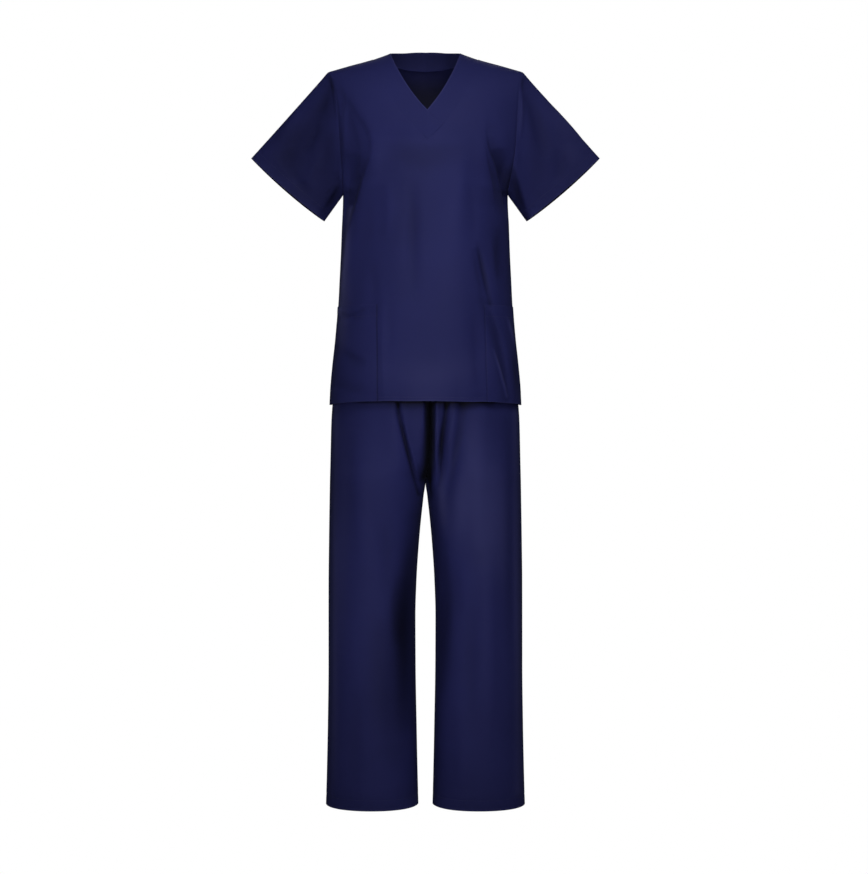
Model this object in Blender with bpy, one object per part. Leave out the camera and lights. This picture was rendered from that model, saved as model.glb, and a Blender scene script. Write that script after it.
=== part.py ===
"""A medical scrubs set: a V-necked top over straight trousers, filled out as if worn, with no wearer.

Lengths are in millimetres until the meshes are made. +Z is up, the front faces -Y and the wearer's
left is +X. The origin is midway between the two points of the neck, at the height of the shoulders,
where the wearer holds the set up. Each cut piece is one closed wall of cloth.
"""

import math
from collections import namedtuple

import bpy
import numpy as np

METRES = 0.001  # of one unit of the tables below
WALL = 1.5  # cloth, measured through the wall
SEAM_GAP = 0.3  # between the edges of two pieces sewn together

FRONT, BACK = -1, 1
RIGHT, LEFT = -1, 1  # the wearer's

# ---- driving dimensions of the top

UNDERARM_HEIGHT = -297.0
HEM_HEIGHT = -739.5
HEM_RISE = 4.0  # at the centre of the hem
SIDE_SEAM_Y = 8.0
RIDGE_Y = 11.0  # the highest line of the shoulder
ARMHOLE_Y = {FRONT: -46.0, BACK: 68.0}
ARMHOLE_ROUND = 87.0  # height over which the armhole turns into the side seam
POCKET_MOUTH = -535.0
POCKET_GAPE = 2.5
POCKET_GAPE_FADE = 3  # more lets the pocket lie flat nearer its mouth

NECK_HALF = 74.0
NECK_POINT = (4.0, -138.0)  # the lowest point of the V
NECK_BOW = 8.0  # outward bow of each edge of the V
BAND_HALF = 114.0  # where the band meets the shoulder seam
BAND_POINT = (6.0, -203.0)  # where the two outer seams of the band meet
BAND_BOW = 14.0
BACK_NECK_RISE = 12.0
BACK_BAND_HALF = 108.0  # of the band's outer seam on the ridge of the shoulder
BACK_BAND_HEIGHT = -22.0
SEAM_DROP = {"neck": 3.5, "tip": 5.5}  # the shoulder seam, below the ridge on the front
LAP_RISE = 2.3  # the lapped end of the band, over the end below it
LAP_TIP, LAP_ROOT = 0.22, 0.02  # where the lapped end crosses the other end's seam, of its length
YOKE_DIP = 30.0  # how far the row at the underarms hangs down at the centre

Torso = namedtuple("Torso", "height right left front back")
TORSO = [  # half-widths at the edges of the panels, and y at the centres
    Torso(60, 205.0, 205.0, -84, 96),
    Torso(0, 205.0, 205.0, -90, 104),
    Torso(-41, 205.0, 205.0, -93, 110),
    Torso(-55, 195.5, 199.5, -95, 111),
    Torso(-80, 188.5, 195.5, -98, 113),
    Torso(-110, 183.5, 193.0, -103, 115),
    Torso(-160, 179.8, 190.0, -119, 118),
    Torso(-204, 177.2, 187.5, -138, 117),
    Torso(-240, 174.5, 182.5, -142, 114),
    Torso(-270, 173.2, 177.0, -140, 111),
    Torso(UNDERARM_HEIGHT, 172.8, 172.8, -138, 108),
    Torso(-376, 175.4, 175.4, -131, 100),
    Torso(-427, 177.2, 177.2, -127, 97),
    Torso(-477, 179.6, 179.6, -125, 99),
    Torso(-527, 182.2, 182.2, -126, 103),
    Torso(-552, 184.0, 184.0, -127, 106),
    Torso(-603, 188.6, 188.6, -130, 113),
    Torso(-653, 194.2, 194.2, -134, 120),
    Torso(-704, 198.8, 198.8, -138, 126),
    Torso(HEM_HEIGHT, 200.5, 200.5, -140, 129),
]

Turn = namedtuple("Turn", "height angle")
TURN = [  # how far each ring has turned to the side where its panel ends, in degrees
    Turn(60, 50),
    Turn(-41, 52),
    Turn(-150, 58),
    Turn(-230, 68),
    Turn(-270, 78),
    Turn(UNDERARM_HEIGHT, 90),
    Turn(HEM_HEIGHT, 90),
]

Shoulder = namedtuple("Shoulder", "across front_ridge back_ridge front_settle back_settle front_bend back_bend")
SHOULDER = [  # ridge height, depth over which the cloth rolls off it, and 0.5 round to 1 straight
    Shoulder(0, 24, 45, 170, 126, 1.00, 0.68),
    Shoulder(37, 14, 32, 155, 123, 0.90, 0.70),
    Shoulder(74, 0, 0, 132, 118, 0.78, 0.70),
    Shoulder(114, -14.6, -14.6, 105, 100, 0.64, 0.60),
    Shoulder(160, -27.7, -27.7, 88, 88, 0.54, 0.54),
    Shoulder(205, -40.6, -40.6, 76, 80, 0.50, 0.50),
]

Line = namedtuple("Line", "height right centre left")
COLUMN_LINES = [  # where the pockets' inner seams and the centre front run down the front
    Line(UNDERARM_HEIGHT, -108.0, 7.0, 118.0),
    Line(POCKET_MOUTH, -98.7, 9.0, 121.3),
    Line(HEM_HEIGHT, -95.4, 10.0, 126.2),
]

BACK_SPREAD = 0.62  # where the columns from the ends of the neck band run down the back
EDGE_FADE = 0.15  # share of the half-ring beside a side edge over which folds die out
FOLD_FADE = 0.8  # less keeps a fold deep nearer its ends

Fold = namedtuple("Fold", "x0 z0 x1 z1 width depth")
TOP_FRONT_FOLDS = [  # a positive depth is a trough
    Fold(-148, -225, -178, -360, 22, 9),
    Fold(150, -215, 180, -350, 22, 12),
    Fold(-118, -190, -98, -300, 18, -3),
    Fold(104, -420, 130, -530, 11, 6),
    Fold(66, -330, 74, -690, 30, -4),
    Fold(-32, -290, -26, -560, 22, 3),
    Fold(-150, -380, -166, -530, 13, -4),
]
TOP_BACK_FOLDS = [
    Fold(-120, -210, -150, -350, 24, 7),
    Fold(124, -200, 152, -340, 24, 8),
    Fold(-70, -330, -46, -640, 26, 5),
    Fold(64, -350, 88, -660, 28, 5),
    Fold(8, -240, 2, -520, 34, -4),
]

# ---- driving dimensions of the sleeves

SLEEVE_MIDDLE = (290.6, 22.0, -285.6)  # the middle of the sleeve's opening
SLEEVE_HALF = (77.2, 0.0, 66.4)  # from there to the outer corner
SLEEVE_THICK = 31.0  # half the opening, front to back
SLEEVE_BOW = 3.9  # the opening's middle lies this much further down the arm
SLEEVE_SETTLE = 1.7  # 1 is straight from armhole to opening, more settles back on the arm sooner

# ---- driving dimensions of the trousers

WAIST_HEIGHT = -615.0
WAISTBAND_DEEP = 40.0
LEG_HEM_HEIGHT = -1576.5
LEG_HEM_DIP = 4.5
LEG_HEM_REACH = 100.0  # height over which the dip of the hem dies out
LEG_SIDE_Y = 6.0
LEG_INSEAM_Y = 10.0
LEG_CORNER = 2.15  # 2 gives an ellipse, more gives squarer legs
LEG_FOLD_FADE = 0.5  # less keeps folds deep nearer the side seams
CLEFT_FLARE = 2.4  # how the cleft opens from its bottom, 1 straight and 2 round

Trouser = namedtuple("Trouser", "height outer inner front back cleft_front cleft_back cleft_wide centre leg")
TROUSERS = [  # the cleft is the valley between the legs, and leg goes from 0, hips, to 1, two legs
    Trouser(WAIST_HEIGHT, 150.0, 0.0, -116, 104, 0, 0, 9, 3, 0.00),
    Trouser(-655, 170.0, 0.0, -121, 111, 4, 4, 9, 5, 0.00),
    Trouser(-695, 186.0, 0.0, -124, 116, 22, 14, 9, 7, 0.00),
    Trouser(-737, 194.5, 0.0, -125, 118, 58, 30, 9, 7, 0.00),
    Trouser(-780, 197.2, 0.0, -124, 119, 80, 50, 9, 7, 0.08),
    Trouser(-820, 198.2, 0.0, -121, 118, 94, 70, 10, 6, 0.28),
    Trouser(-860, 199.0, 0.0, -117, 117, 104, 88, 11, 4, 0.62),
    Trouser(-900.5, 200.0, 0.1, -113, 115, 112, 100, 14, 0, 1.00),
    Trouser(-930, 200.5, 4.1, -110, 113, 112, 100, 14, 0, 1.00),
    Trouser(-981, 201.3, 9.9, -105, 109, 112, 100, 14, 0, 1.00),
    Trouser(-1031, 202.0, 14.4, -101, 105, 112, 100, 14, 0, 1.00),
    Trouser(-1107, 202.8, 19.3, -95, 100, 112, 100, 14, 0, 1.00),
    Trouser(-1183, 202.9, 21.6, -90, 96, 112, 100, 14, 0, 1.00),
    Trouser(-1283, 202.9, 21.2, -84, 91, 112, 100, 14, 0, 1.00),
    Trouser(-1409, 204.4, 19.1, -77, 86, 112, 100, 14, 0, 1.00),
    Trouser(-1510, 206.5, 17.0, -71, 81, 112, 100, 14, 0, 1.00),
    Trouser(LEG_HEM_HEIGHT, 208.4, 15.3, -67, 78, 112, 100, 14, 0, 1.00),
]
TROUSER_FOLDS = {
    FRONT: [
        Fold(-58, -735, -14, -923, 10, 9),
        Fold(46, -735, 25, -921, 10, 9),
        Fold(93, -750, 20, -1001, 17, 5),
        Fold(-150, -760, -120, -1100, 26, -4),
        Fold(128, -980, 112, -1420, 24, -4),
    ],
    BACK: [
        Fold(-62, -790, -18, -930, 13, 8),
        Fold(60, -800, 20, -935, 13, 8),
        Fold(-110, -900, -96, -1250, 24, 5),
        Fold(118, -940, 104, -1330, 24, 5),
    ],
}

# ---- how finely the walls are divided

SHOULDER_COLUMNS = 6
V_COLUMNS = 10
BACK_NECK_COLUMNS = 16
YOKE_ROWS = {FRONT: 10, BACK: 11}
RIDGE_ROW = 2  # the row of the back that lies on the ridge of the shoulder
BODY_ROWS = 6
POCKET_ROWS = 5
BACK_ROWS = 8  # below the underarm
SLEEVE_ROWS = 6
BAND_ROWS = 3
LEG_COLUMNS = {FRONT: 20, BACK: 16}
LEG_ROWS = [WAIST_HEIGHT, -650, -690, -730, -768, -804, -838, -870, -900.5, -930,
            -965, -1010, -1070, -1140, -1220, -1310, -1400, -1490, LEG_HEM_HEIGHT]

NEAR = 0.05  # of a column or row, over which the direction of a surface is measured
NEAR_SPREAD, NEAR_ROLL = 0.01, 0.01
FIRST_HEIGHT = -100.0  # where the search for the height of a point starts
SEARCH_STEPS = 12
ROW_EASE = 0.09  # how much the rows of the yoke close up at both ends

FRONT_COLUMNS = 2 * (SHOULDER_COLUMNS + V_COLUMNS)
BACK_COLUMNS = 2 * SHOULDER_COLUMNS + BACK_NECK_COLUMNS
ARMHOLE_STEPS = YOKE_ROWS[FRONT] + YOKE_ROWS[BACK]

NAVY = (0.019, 0.020, 0.085, 1.0)
CLOTH_ROUGHNESS = 0.78
SHARP = math.radians(50)


class Curve:
    """A smooth curve through pairs of numbers, which never swings past them."""

    def __init__(self, keys, values):
        order = np.argsort(keys)
        self.keys = np.array(keys, float)[order]
        self.values = np.array(values, float)[order]
        step = np.diff(self.keys)
        rise = np.diff(self.values) / step
        self.slopes = np.zeros(len(self.keys))
        self.slopes[0], self.slopes[-1] = rise[0], rise[-1]
        for i in range(1, len(rise)):
            if rise[i - 1] * rise[i] > 0:
                self.slopes[i] = 2 * rise[i - 1] * rise[i] / (rise[i - 1] + rise[i])

    def __call__(self, key):
        key = min(max(key, self.keys[0]), self.keys[-1])
        i = min(max(int(np.searchsorted(self.keys, key)) - 1, 0), len(self.keys) - 2)
        width = self.keys[i + 1] - self.keys[i]
        t = (key - self.keys[i]) / width
        start, end = self.values[i], self.values[i + 1]
        leave, arrive = self.slopes[i] * width, self.slopes[i + 1] * width
        turn = start + t * leave + t * t * (3 * (end - start) - 2 * leave - arrive)
        return turn + t**3 * (2 * (start - end) + leave + arrive)


def curves(rows):
    """One curve for each named column of a table, against its first column."""
    keys = [row[0] for row in rows]
    return {name: Curve(keys, [getattr(row, name) for row in rows]) for name in rows[0]._fields[1:]}


torso, turn, shoulder = curves(TORSO), curves(TURN), curves(SHOULDER)
column_lines, trousers = curves(COLUMN_LINES), curves(TROUSERS)


def mix(a, b, t):
    return a + (b - a) * t


def unit(vectors):
    return vectors / np.linalg.norm(vectors, axis=-1, keepdims=True)


def smooth(t):
    """From 0 to 1, level at both ends."""
    t = min(max(t, 0), 1)
    return t * t * (3 - 2 * t)


def ease(t):
    """Even steps made shorter at both ends."""
    return t - ROW_EASE * math.sin(2 * math.pi * t)


def fold_depth(folds, x, z):
    """How far the folds move a point of the cloth inwards."""
    total = 0.0
    for fold in folds:
        along = np.array([fold.x1 - fold.x0, fold.z1 - fold.z0])
        t = float(np.dot([x - fold.x0, z - fold.z0], along) / np.dot(along, along))
        if 0 < t < 1:
            off = math.hypot(x - mix(fold.x0, fold.x1, t), z - mix(fold.z0, fold.z1, t))
            total += fold.depth * math.exp(-((off / fold.width) ** 2)) * math.sin(math.pi * t) ** FOLD_FADE
    return total


# ---- the surface of the top: spread runs from side edge to side edge, and roll from the ridge of
# the shoulder, 0, down the front where it is negative and down the back where it is positive


def side_name(side):
    return "front" if side == FRONT else "back"


def depth_below_ridge(roll, settle):
    roll = abs(roll)
    if roll < 1:
        return settle * (1 - math.cos(roll * math.pi / 2))
    return settle * (1 + (roll - 1) * math.pi / 2)


def roll_at_depth(depth, settle):
    if depth < settle:
        return math.acos(1 - max(depth, 0.0) / settle) * 2 / math.pi
    return 1 + (depth / settle - 1) * 2 / math.pi


def half_width(side, hand, height):
    if side == BACK:
        return (torso["right"](height) + torso["left"](height)) / 2
    return torso["right" if hand < 0 else "left"](height)


def armhole_y(side, height):
    """y of the panel's edge at the armhole, which rounds into the side seam below it."""
    t = (height - UNDERARM_HEIGHT) / ARMHOLE_ROUND
    if t <= 0:
        return SIDE_SEAM_Y
    bulge = 1.0 if t >= 1 else math.sqrt(1 - (1 - t) ** 2)
    return mix(SIDE_SEAM_Y, ARMHOLE_Y[side], bulge)


def ring_point(side, angle, height):
    """A point of the ring at a height, at an angle from the centre of the front or back."""
    limit = math.radians(turn["angle"](height))
    width = half_width(side, angle, height)
    x = width * math.sin(angle) / math.sin(limit)
    rise = (math.cos(angle) - math.cos(limit)) / (1 - math.cos(limit))
    return x, mix(armhole_y(side, height), torso[side_name(side)](height), rise)


def torso_point(spread, roll):
    """A point of the top's outer surface, from its spread and roll."""
    side = FRONT if roll < 0 else BACK
    name = side_name(side)
    height = FIRST_HEIGHT
    for _ in range(SEARCH_STEPS):
        angle = spread * math.radians(turn["angle"](height))
        x, y = ring_point(side, angle, height)
        settle = shoulder[name + "_settle"](abs(x))
        depth = depth_below_ridge(roll, settle)
        height = shoulder[name + "_ridge"](abs(x)) - depth
    covered = min(depth / settle, 1.0)
    rolled = (1 - (1 - covered) ** 2) ** shoulder[name + "_bend"](abs(x))
    folds = TOP_FRONT_FOLDS if side == FRONT else TOP_BACK_FOLDS
    inward = fold_depth(folds, x, height) * smooth((1 - abs(spread)) / EDGE_FADE)
    return np.array([
        x - inward * math.sin(angle),
        mix(RIDGE_Y, y, rolled) - side * inward * math.cos(angle),
        height,
    ])


def torso_normal(spread, roll):
    right, left = max(spread - NEAR_SPREAD, -1), min(spread + NEAR_SPREAD, 1)
    across = torso_point(left, roll) - torso_point(right, roll)
    backward = torso_point(spread, roll + NEAR_ROLL) - torso_point(spread, roll - NEAR_ROLL)
    return unit(np.cross(across, backward))


def torso_place(side, x, height):
    """The spread and roll of the point of the top at a given x and height."""
    limit = math.radians(turn["angle"](height))
    sine = min(max(x / half_width(side, x, height), -1), 1) * math.sin(limit)
    name = side_name(side)
    depth = shoulder[name + "_ridge"](abs(x)) - height
    return math.asin(sine) / limit, side * roll_at_depth(depth, shoulder[name + "_settle"](abs(x)))


def spread_at(x, height, side=FRONT):
    return torso_place(side, x, height)[0]


def seam_height(x):
    """Height of the shoulder seam, a little below the ridge on the front."""
    t = (abs(x) - NECK_HALF) / (SHOULDER[-1].across - NECK_HALF)
    drop = mix(SEAM_DROP["neck"], SEAM_DROP["tip"], min(max(t, 0), 1))
    return shoulder["front_ridge"](abs(x)) - drop


def shoulder_tip(hand):
    """How far across the shoulder seam meets the armhole."""
    x = SHOULDER[-1].across
    for _ in range(SEARCH_STEPS):
        x = half_width(FRONT, hand, seam_height(x))
    return x


def seam_place(hand, t):
    """A place on the shoulder seam, from the armhole, 0, to the band, 1."""
    x = hand * mix(shoulder_tips[hand], BAND_HALF, t)
    return torso_place(FRONT, x, seam_height(x))


shoulder_tips = {hand: shoulder_tip(hand) for hand in (RIGHT, LEFT)}


def bowed(start, end, bow, t):
    """A point between two points, on a line bowed to the left of its own direction."""
    start, end = np.array(start), np.array(end)
    along = (end - start) / np.linalg.norm(end - start)
    return mix(start, end, t) + bow * 4 * t * (1 - t) * np.array([-along[1], along[0]])


def neck_edge_front(hand, t):
    """The edge of the V, from its point, 0, to the shoulder seam, 1."""
    end = hand * (NECK_HALF - 1)
    x, z = bowed(NECK_POINT, (end, seam_height(end)), -hand * NECK_BOW, t)
    return torso_place(FRONT, x, z)


def band_seam_front(hand, t):
    """The band's outer seam on the front, from its point, 0, to the shoulder seam, 1."""
    end = hand * BAND_HALF
    x, z = bowed(BAND_POINT, (end, seam_height(end)), -hand * BAND_BOW, t)
    return torso_place(FRONT, x, z)


def neck_edge_back(hand, t):
    """The edge of the neck behind, from the ridge of the shoulder, 0, to the centre back, 1."""
    x = NECK_HALF * math.cos(t * math.pi / 2)
    return torso_place(BACK, hand * x, BACK_NECK_RISE * (1 - (x / NECK_HALF) ** 2))


def band_seam_back(hand, t):
    """The band's outer seam behind, from the ridge of the shoulder, 0, to the centre back, 1."""
    x = BACK_BAND_HALF * math.cos(t * math.pi / 2)
    ridge = shoulder["back_ridge"](BACK_BAND_HALF)
    return torso_place(BACK, hand * x, mix(BACK_BAND_HEIGHT, ridge, (x / BACK_BAND_HALF) ** 2))


def blend_places(first, second, t):
    return tuple(mix(a, b, t) for a, b in zip(first, second))


# ---- the front and back of the top, as functions of column u and row v


def front_top(u):
    """Spread and roll of the front's upper edge: shoulder seam, V seam, shoulder seam."""
    hand = RIGHT if u < FRONT_COLUMNS / 2 else LEFT
    u = min(u, FRONT_COLUMNS - u)
    if u < SHOULDER_COLUMNS:
        return seam_place(hand, u / SHOULDER_COLUMNS)
    return band_seam_front(hand, 1 - (u - SHOULDER_COLUMNS) / V_COLUMNS)


def front_spread(u, height):
    """Spread of a column of the front below the underarm, between the lines that it follows."""
    stops = [0, SHOULDER_COLUMNS, FRONT_COLUMNS / 2, FRONT_COLUMNS - SHOULDER_COLUMNS, FRONT_COLUMNS]
    inner = [spread_at(column_lines[name](height), height) for name in ("right", "centre", "left")]
    return float(np.interp(u, stops, [-1, *inner, 1]))


def ring_place(side, spread, height):
    """The place on a ring of the body that has a given spread."""
    x, _ = ring_point(side, spread * math.radians(turn["angle"](height)), height)
    return spread, torso_place(side, x, height)[1]


def level_row(across, height, rise):
    """Height of a row that hangs down, or rises, at the centre of a panel."""
    return height + rise * math.cos((2 * across - 1) * math.pi / 2)


def front_place(u, v):
    rows = YOKE_ROWS[FRONT]
    yoke = level_row(u / FRONT_COLUMNS, UNDERARM_HEIGHT, -YOKE_DIP)
    if v < rows:
        low = ring_place(FRONT, front_spread(u, yoke), yoke)
        return blend_places(front_top(u), low, ease(v / rows))
    hem = level_row(u / FRONT_COLUMNS, HEM_HEIGHT, HEM_RISE)
    stops = [rows, rows + BODY_ROWS, rows + BODY_ROWS + POCKET_ROWS]
    height = float(np.interp(v, stops, [yoke, POCKET_MOUTH, hem]))
    return ring_place(FRONT, front_spread(u, height), height)


def back_top(u):
    """Spread and roll of the back's upper edge: shoulder seam, band seam, shoulder seam."""
    hand = RIGHT if u < BACK_COLUMNS / 2 else LEFT
    u = min(u, BACK_COLUMNS - u)
    if u <= SHOULDER_COLUMNS:
        return seam_place(hand, u / SHOULDER_COLUMNS)
    past = u - SHOULDER_COLUMNS
    if past < 1:
        return blend_places(seam_place(hand, 1), band_seam_back(hand, 0), past)
    return band_seam_back(hand, (past - 1) / (BACK_NECK_COLUMNS / 2 - 1))


def back_place(u, v):
    rows = YOKE_ROWS[BACK]
    stops = [0, SHOULDER_COLUMNS, BACK_COLUMNS - SHOULDER_COLUMNS, BACK_COLUMNS]
    spread = float(np.interp(u, stops, [-1, -BACK_SPREAD, BACK_SPREAD, 1]))
    yoke = level_row(u / BACK_COLUMNS, UNDERARM_HEIGHT, -YOKE_DIP)
    if v < rows:
        return blend_places(back_top(u), ring_place(BACK, spread, yoke), ease(v / rows))
    hem = level_row(u / BACK_COLUMNS, HEM_HEIGHT, HEM_RISE)
    return ring_place(BACK, spread, mix(yoke, hem, (v - rows) / BACK_ROWS))


# ---- sleeves, band, pockets


def armhole_place(hand, w):
    """A place on the armhole: down the front's edge, then up the back's edge."""
    w = w % ARMHOLE_STEPS
    if w <= YOKE_ROWS[FRONT]:
        return front_place(0 if hand == RIGHT else FRONT_COLUMNS, w)
    return back_place(0 if hand == RIGHT else BACK_COLUMNS, ARMHOLE_STEPS - w)


def sleeve_angles(hand):
    """The angle round the sleeve's opening for each point of the armhole, 0 at its outer corner."""
    points = [torso_point(*armhole_place(hand, w)) for w in range(ARMHOLE_STEPS + 1)]
    steps = [0.0, *np.cumsum([np.linalg.norm(b - a) for a, b in zip(points, points[1:])])]
    underarm, corner = steps[YOKE_ROWS[FRONT]], steps[ARMHOLE_STEPS - RIDGE_ROW]
    start = (steps[-1] - corner) / (steps[-1] - corner + underarm) * math.pi
    angles = [start, math.pi, 2 * math.pi, 2 * math.pi + start]
    return np.interp(steps, [0, underarm, corner, steps[-1]], angles).tolist()


def sleeve_opening(hand, angle):
    middle, half = np.array(SLEEVE_MIDDLE), np.array(SLEEVE_HALF)
    length = np.linalg.norm(half)
    down_arm = np.array([half[2], 0.0, -half[0]]) / length
    point = middle + half * math.cos(angle) + down_arm * SLEEVE_BOW * math.sin(angle) ** 2
    point[1] -= SLEEVE_THICK * math.sin(angle)
    point[0] *= hand
    return point


def sleeve_functions(hand):
    """The sleeve's surface, and the direction of its rim at the armhole."""
    angles = sleeve_angles(hand)

    def around(u):
        return -u % ARMHOLE_STEPS if hand == LEFT else u % ARMHOLE_STEPS

    def point(u, v):
        w = around(u)
        angle = float(np.interp(w, range(len(angles)), angles))
        start, end = torso_point(*armhole_place(hand, w)), sleeve_opening(hand, angle)
        t = v / SLEEVE_ROWS
        place = mix(start, end, t)
        place[1] = mix(start[1], end[1], 1 - (1 - t) ** SLEEVE_SETTLE)
        return place

    def rim(u, own):
        """Where the sleeve falls away from the shoulder, its rim lies along the panel's."""
        panel = torso_normal(*armhole_place(hand, around(u)))
        return panel if np.dot(point(u, 1) - point(u, 0), panel) < 0 else own

    return point, rim


def band_lines():
    """The neck band's lines from neck edge to outer seam, from its lower end round to the lapped end."""
    lines = []
    for i in range(V_COLUMNS + 1):
        lines.append((neck_edge_front(LEFT, i / V_COLUMNS), band_seam_front(LEFT, i / V_COLUMNS)))
    last = BACK_NECK_COLUMNS // 2 - 1
    back = [(LEFT, i / last) for i in range(last)] + [(RIGHT, i / last) for i in range(last, -1, -1)]
    lines += [(neck_edge_back(hand, t), band_seam_back(hand, t)) for hand, t in back]
    for i in range(V_COLUMNS, -1, -1):
        lines.append((neck_edge_front(RIGHT, i / V_COLUMNS), band_seam_front(RIGHT, i / V_COLUMNS)))
    return lines


def neckband_functions():
    lines = band_lines()
    corner = len(lines) - 1
    tip, root = band_seam_front(LEFT, LAP_TIP), band_seam_front(LEFT, LAP_ROOT)
    lines.append((blend_places(lines[-1][0], tip, 0.5), blend_places(lines[-1][1], root, 0.5)))
    lines.append((tip, root))

    def place(u, v):
        i = min(int(u), len(lines) - 2)
        inner = blend_places(lines[i][0], lines[i + 1][0], u - i)
        outer = blend_places(lines[i][1], lines[i + 1][1], u - i)
        return blend_places(inner, outer, v / BAND_ROWS)

    def lift(u, v):
        return LAP_RISE * min(max(u - corner + 1, 0), 1)

    return place, lift, len(lines) - 1


def pocket_functions(hand):
    """A pocket follows the columns and rows of the front that it lies on."""
    first = 0 if hand == RIGHT else FRONT_COLUMNS - SHOULDER_COLUMNS
    top = YOKE_ROWS[FRONT] + BODY_ROWS

    def place(u, v):
        return front_place(first + u, top + v)

    def lift(u, v):
        gape = math.sin(math.pi * u / SHOULDER_COLUMNS) * (1 - v / POCKET_ROWS) ** POCKET_GAPE_FADE
        return SEAM_GAP + WALL + POCKET_GAPE * gape

    return place, lift


# ---- the trousers: around is 0 at the side seam and 1 at the inner seam


def trouser_point(side, hand, around, height):
    ring = {name: curve(height) for name, curve in trousers.items()}
    theta = around * math.pi
    cosine, sine = math.cos(theta), math.sin(theta)
    stretch = abs(cosine) ** (2 / LEG_CORNER) * (1 if cosine > 0 else -1)
    inset = (1 + stretch) / 2
    inner = ring["inner"] + hand * ring["centre"] + SEAM_GAP / 2
    x = mix(inner, ring["outer"], inset)
    seam_y = mix(LEG_INSEAM_Y, LEG_SIDE_Y, inset)
    end_y = ring["front"] if side == FRONT else ring["back"]
    hips = mix(LEG_SIDE_Y, end_y, math.sqrt(max(1 - (x / ring["outer"]) ** 2, 0)))
    cleft = ring["cleft_front"] if side == FRONT else ring["cleft_back"]
    hips -= side * cleft * math.exp(-((max(x - inner, 0) / ring["cleft_wide"]) ** CLEFT_FLARE))
    leg = mix(seam_y, end_y, abs(sine) ** (2 / LEG_CORNER))
    y = mix(hips, leg, ring["leg"])
    inward = fold_depth(TROUSER_FOLDS[side], hand * x, height)
    dip = LEG_HEM_DIP * abs(sine) * max(0, 1 - (height - LEG_HEM_HEIGHT) / LEG_HEM_REACH)
    return np.array([hand * x, y - side * inward * abs(sine) ** LEG_FOLD_FADE, height - dip])


def trouser_function(side, hand):
    columns = LEG_COLUMNS[side]

    def point(u, v):
        around = u / columns if hand == side else 1 - u / columns
        return trouser_point(side, hand, around, float(np.interp(v, range(len(LEG_ROWS)), LEG_ROWS)))

    return point


def waistband_function():
    """A ring on the four top edges of the trousers, from side seam to side seam."""
    front, back = LEG_COLUMNS[FRONT], LEG_COLUMNS[BACK]
    stops = [0, front, 2 * front, 2 * front + back, 2 * (front + back)]
    parts = [(FRONT, RIGHT, 0, 1), (FRONT, LEFT, 1, 0), (BACK, LEFT, 0, 1), (BACK, RIGHT, 1, 0)]

    def point(u, v):
        u = u % stops[-1]
        i = min(int(np.searchsorted(stops, u, side="right")) - 1, 3)
        side, hand, start, end = parts[i]
        around = mix(start, end, (u - stops[i]) / (stops[i + 1] - stops[i]))
        place = trouser_point(side, hand, around, WAIST_HEIGHT)
        place[2] += WAISTBAND_DEEP * (1 - v)
        return place

    return point, stops[-1]


# ---- walls of cloth


def on_torso(place):
    """The surface and the outward direction of a piece whose places on the torso are known."""
    def point(u, v):
        return torso_point(*place(u, v))

    def normal(u, v):
        return torso_normal(*place(u, v))

    return point, normal


def normal_of(point, columns, rows, closed):
    """The outward direction of a piece, from points close by on the same piece."""
    def normal(u, v):
        left, right = (u - NEAR, u + NEAR) if closed else (max(u - NEAR, 0), min(u + NEAR, columns))
        across = point(right, v) - point(left, v)
        down = point(u, min(v + NEAR, rows)) - point(u, max(v - NEAR, 0))
        return unit(np.cross(down, across))

    return normal


def square_to(edge, normals, closed):
    """Directions in a surface and square to its edge, longer at the edge's corners."""
    after = np.roll(edge, -1, axis=0) - edge
    if not closed:
        after[-1] = after[-2]
    before = np.roll(after, 1, axis=0)
    if not closed:
        before[0] = after[0]
    first, second = unit(np.cross(before, normals)), unit(np.cross(after, normals))
    return (first + second) / (1 + np.sum(first * second, axis=-1, keepdims=True))


def trim(grid, normals, closed, edges):
    """Draws the edges of a piece back along its own surface, to leave the seam gaps."""
    distance = SEAM_GAP / 2
    trimmed = grid.copy()
    if "top" in edges:
        trimmed[0] += distance * square_to(grid[0], normals[0], closed)
    if "bottom" in edges:
        trimmed[-1] -= distance * square_to(grid[-1], normals[-1], closed)
    if "sides" in edges:
        trimmed[:, 0] -= distance * square_to(grid[:, 0], normals[:, 0], False)
        trimmed[:, -1] += distance * square_to(grid[:, -1], normals[:, -1], False)
    return trimmed


def wall_faces(skins, columns, rows, closed):
    """Triangles of a closed wall: its outer skin, its inner skin and the rims between them."""
    stride = columns if closed else columns + 1
    inner = stride * (rows + 1)
    faces = []

    def quad(a, b, c, d):
        """Two triangles that meet along the shorter diagonal."""
        if np.linalg.norm(skins[a] - skins[c]) > np.linalg.norm(skins[b] - skins[d]):
            a, b, c, d = b, c, d, a
        faces.extend([(a, b, c), (a, c, d)])

    def at(i, j):
        return j * stride + i % stride

    for j in range(rows):
        for i in range(columns):
            corners = [at(i, j), at(i, j + 1), at(i + 1, j + 1), at(i + 1, j)]
            quad(*corners)
            quad(*[corner + inner for corner in reversed(corners)])
    for i in range(columns):
        quad(at(i + 1, 0), at(i + 1, 0) + inner, at(i, 0) + inner, at(i, 0))
        quad(at(i, rows), at(i, rows) + inner, at(i + 1, rows) + inner, at(i + 1, rows))
    if not closed:
        for j in range(rows):
            quad(at(0, j), at(0, j) + inner, at(0, j + 1) + inner, at(0, j + 1))
            quad(at(columns, j + 1), at(columns, j + 1) + inner, at(columns, j) + inner, at(columns, j))
    return faces


def cloth_material(name):
    material = bpy.data.materials.new(name + "_cloth")
    material.use_nodes = True
    shader = material.node_tree.nodes["Principled BSDF"]
    shader.inputs["Base Color"].default_value = NAVY
    shader.inputs["Roughness"].default_value = CLOTH_ROUGHNESS
    shader.inputs["Metallic"].default_value = 0.0
    return material


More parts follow.
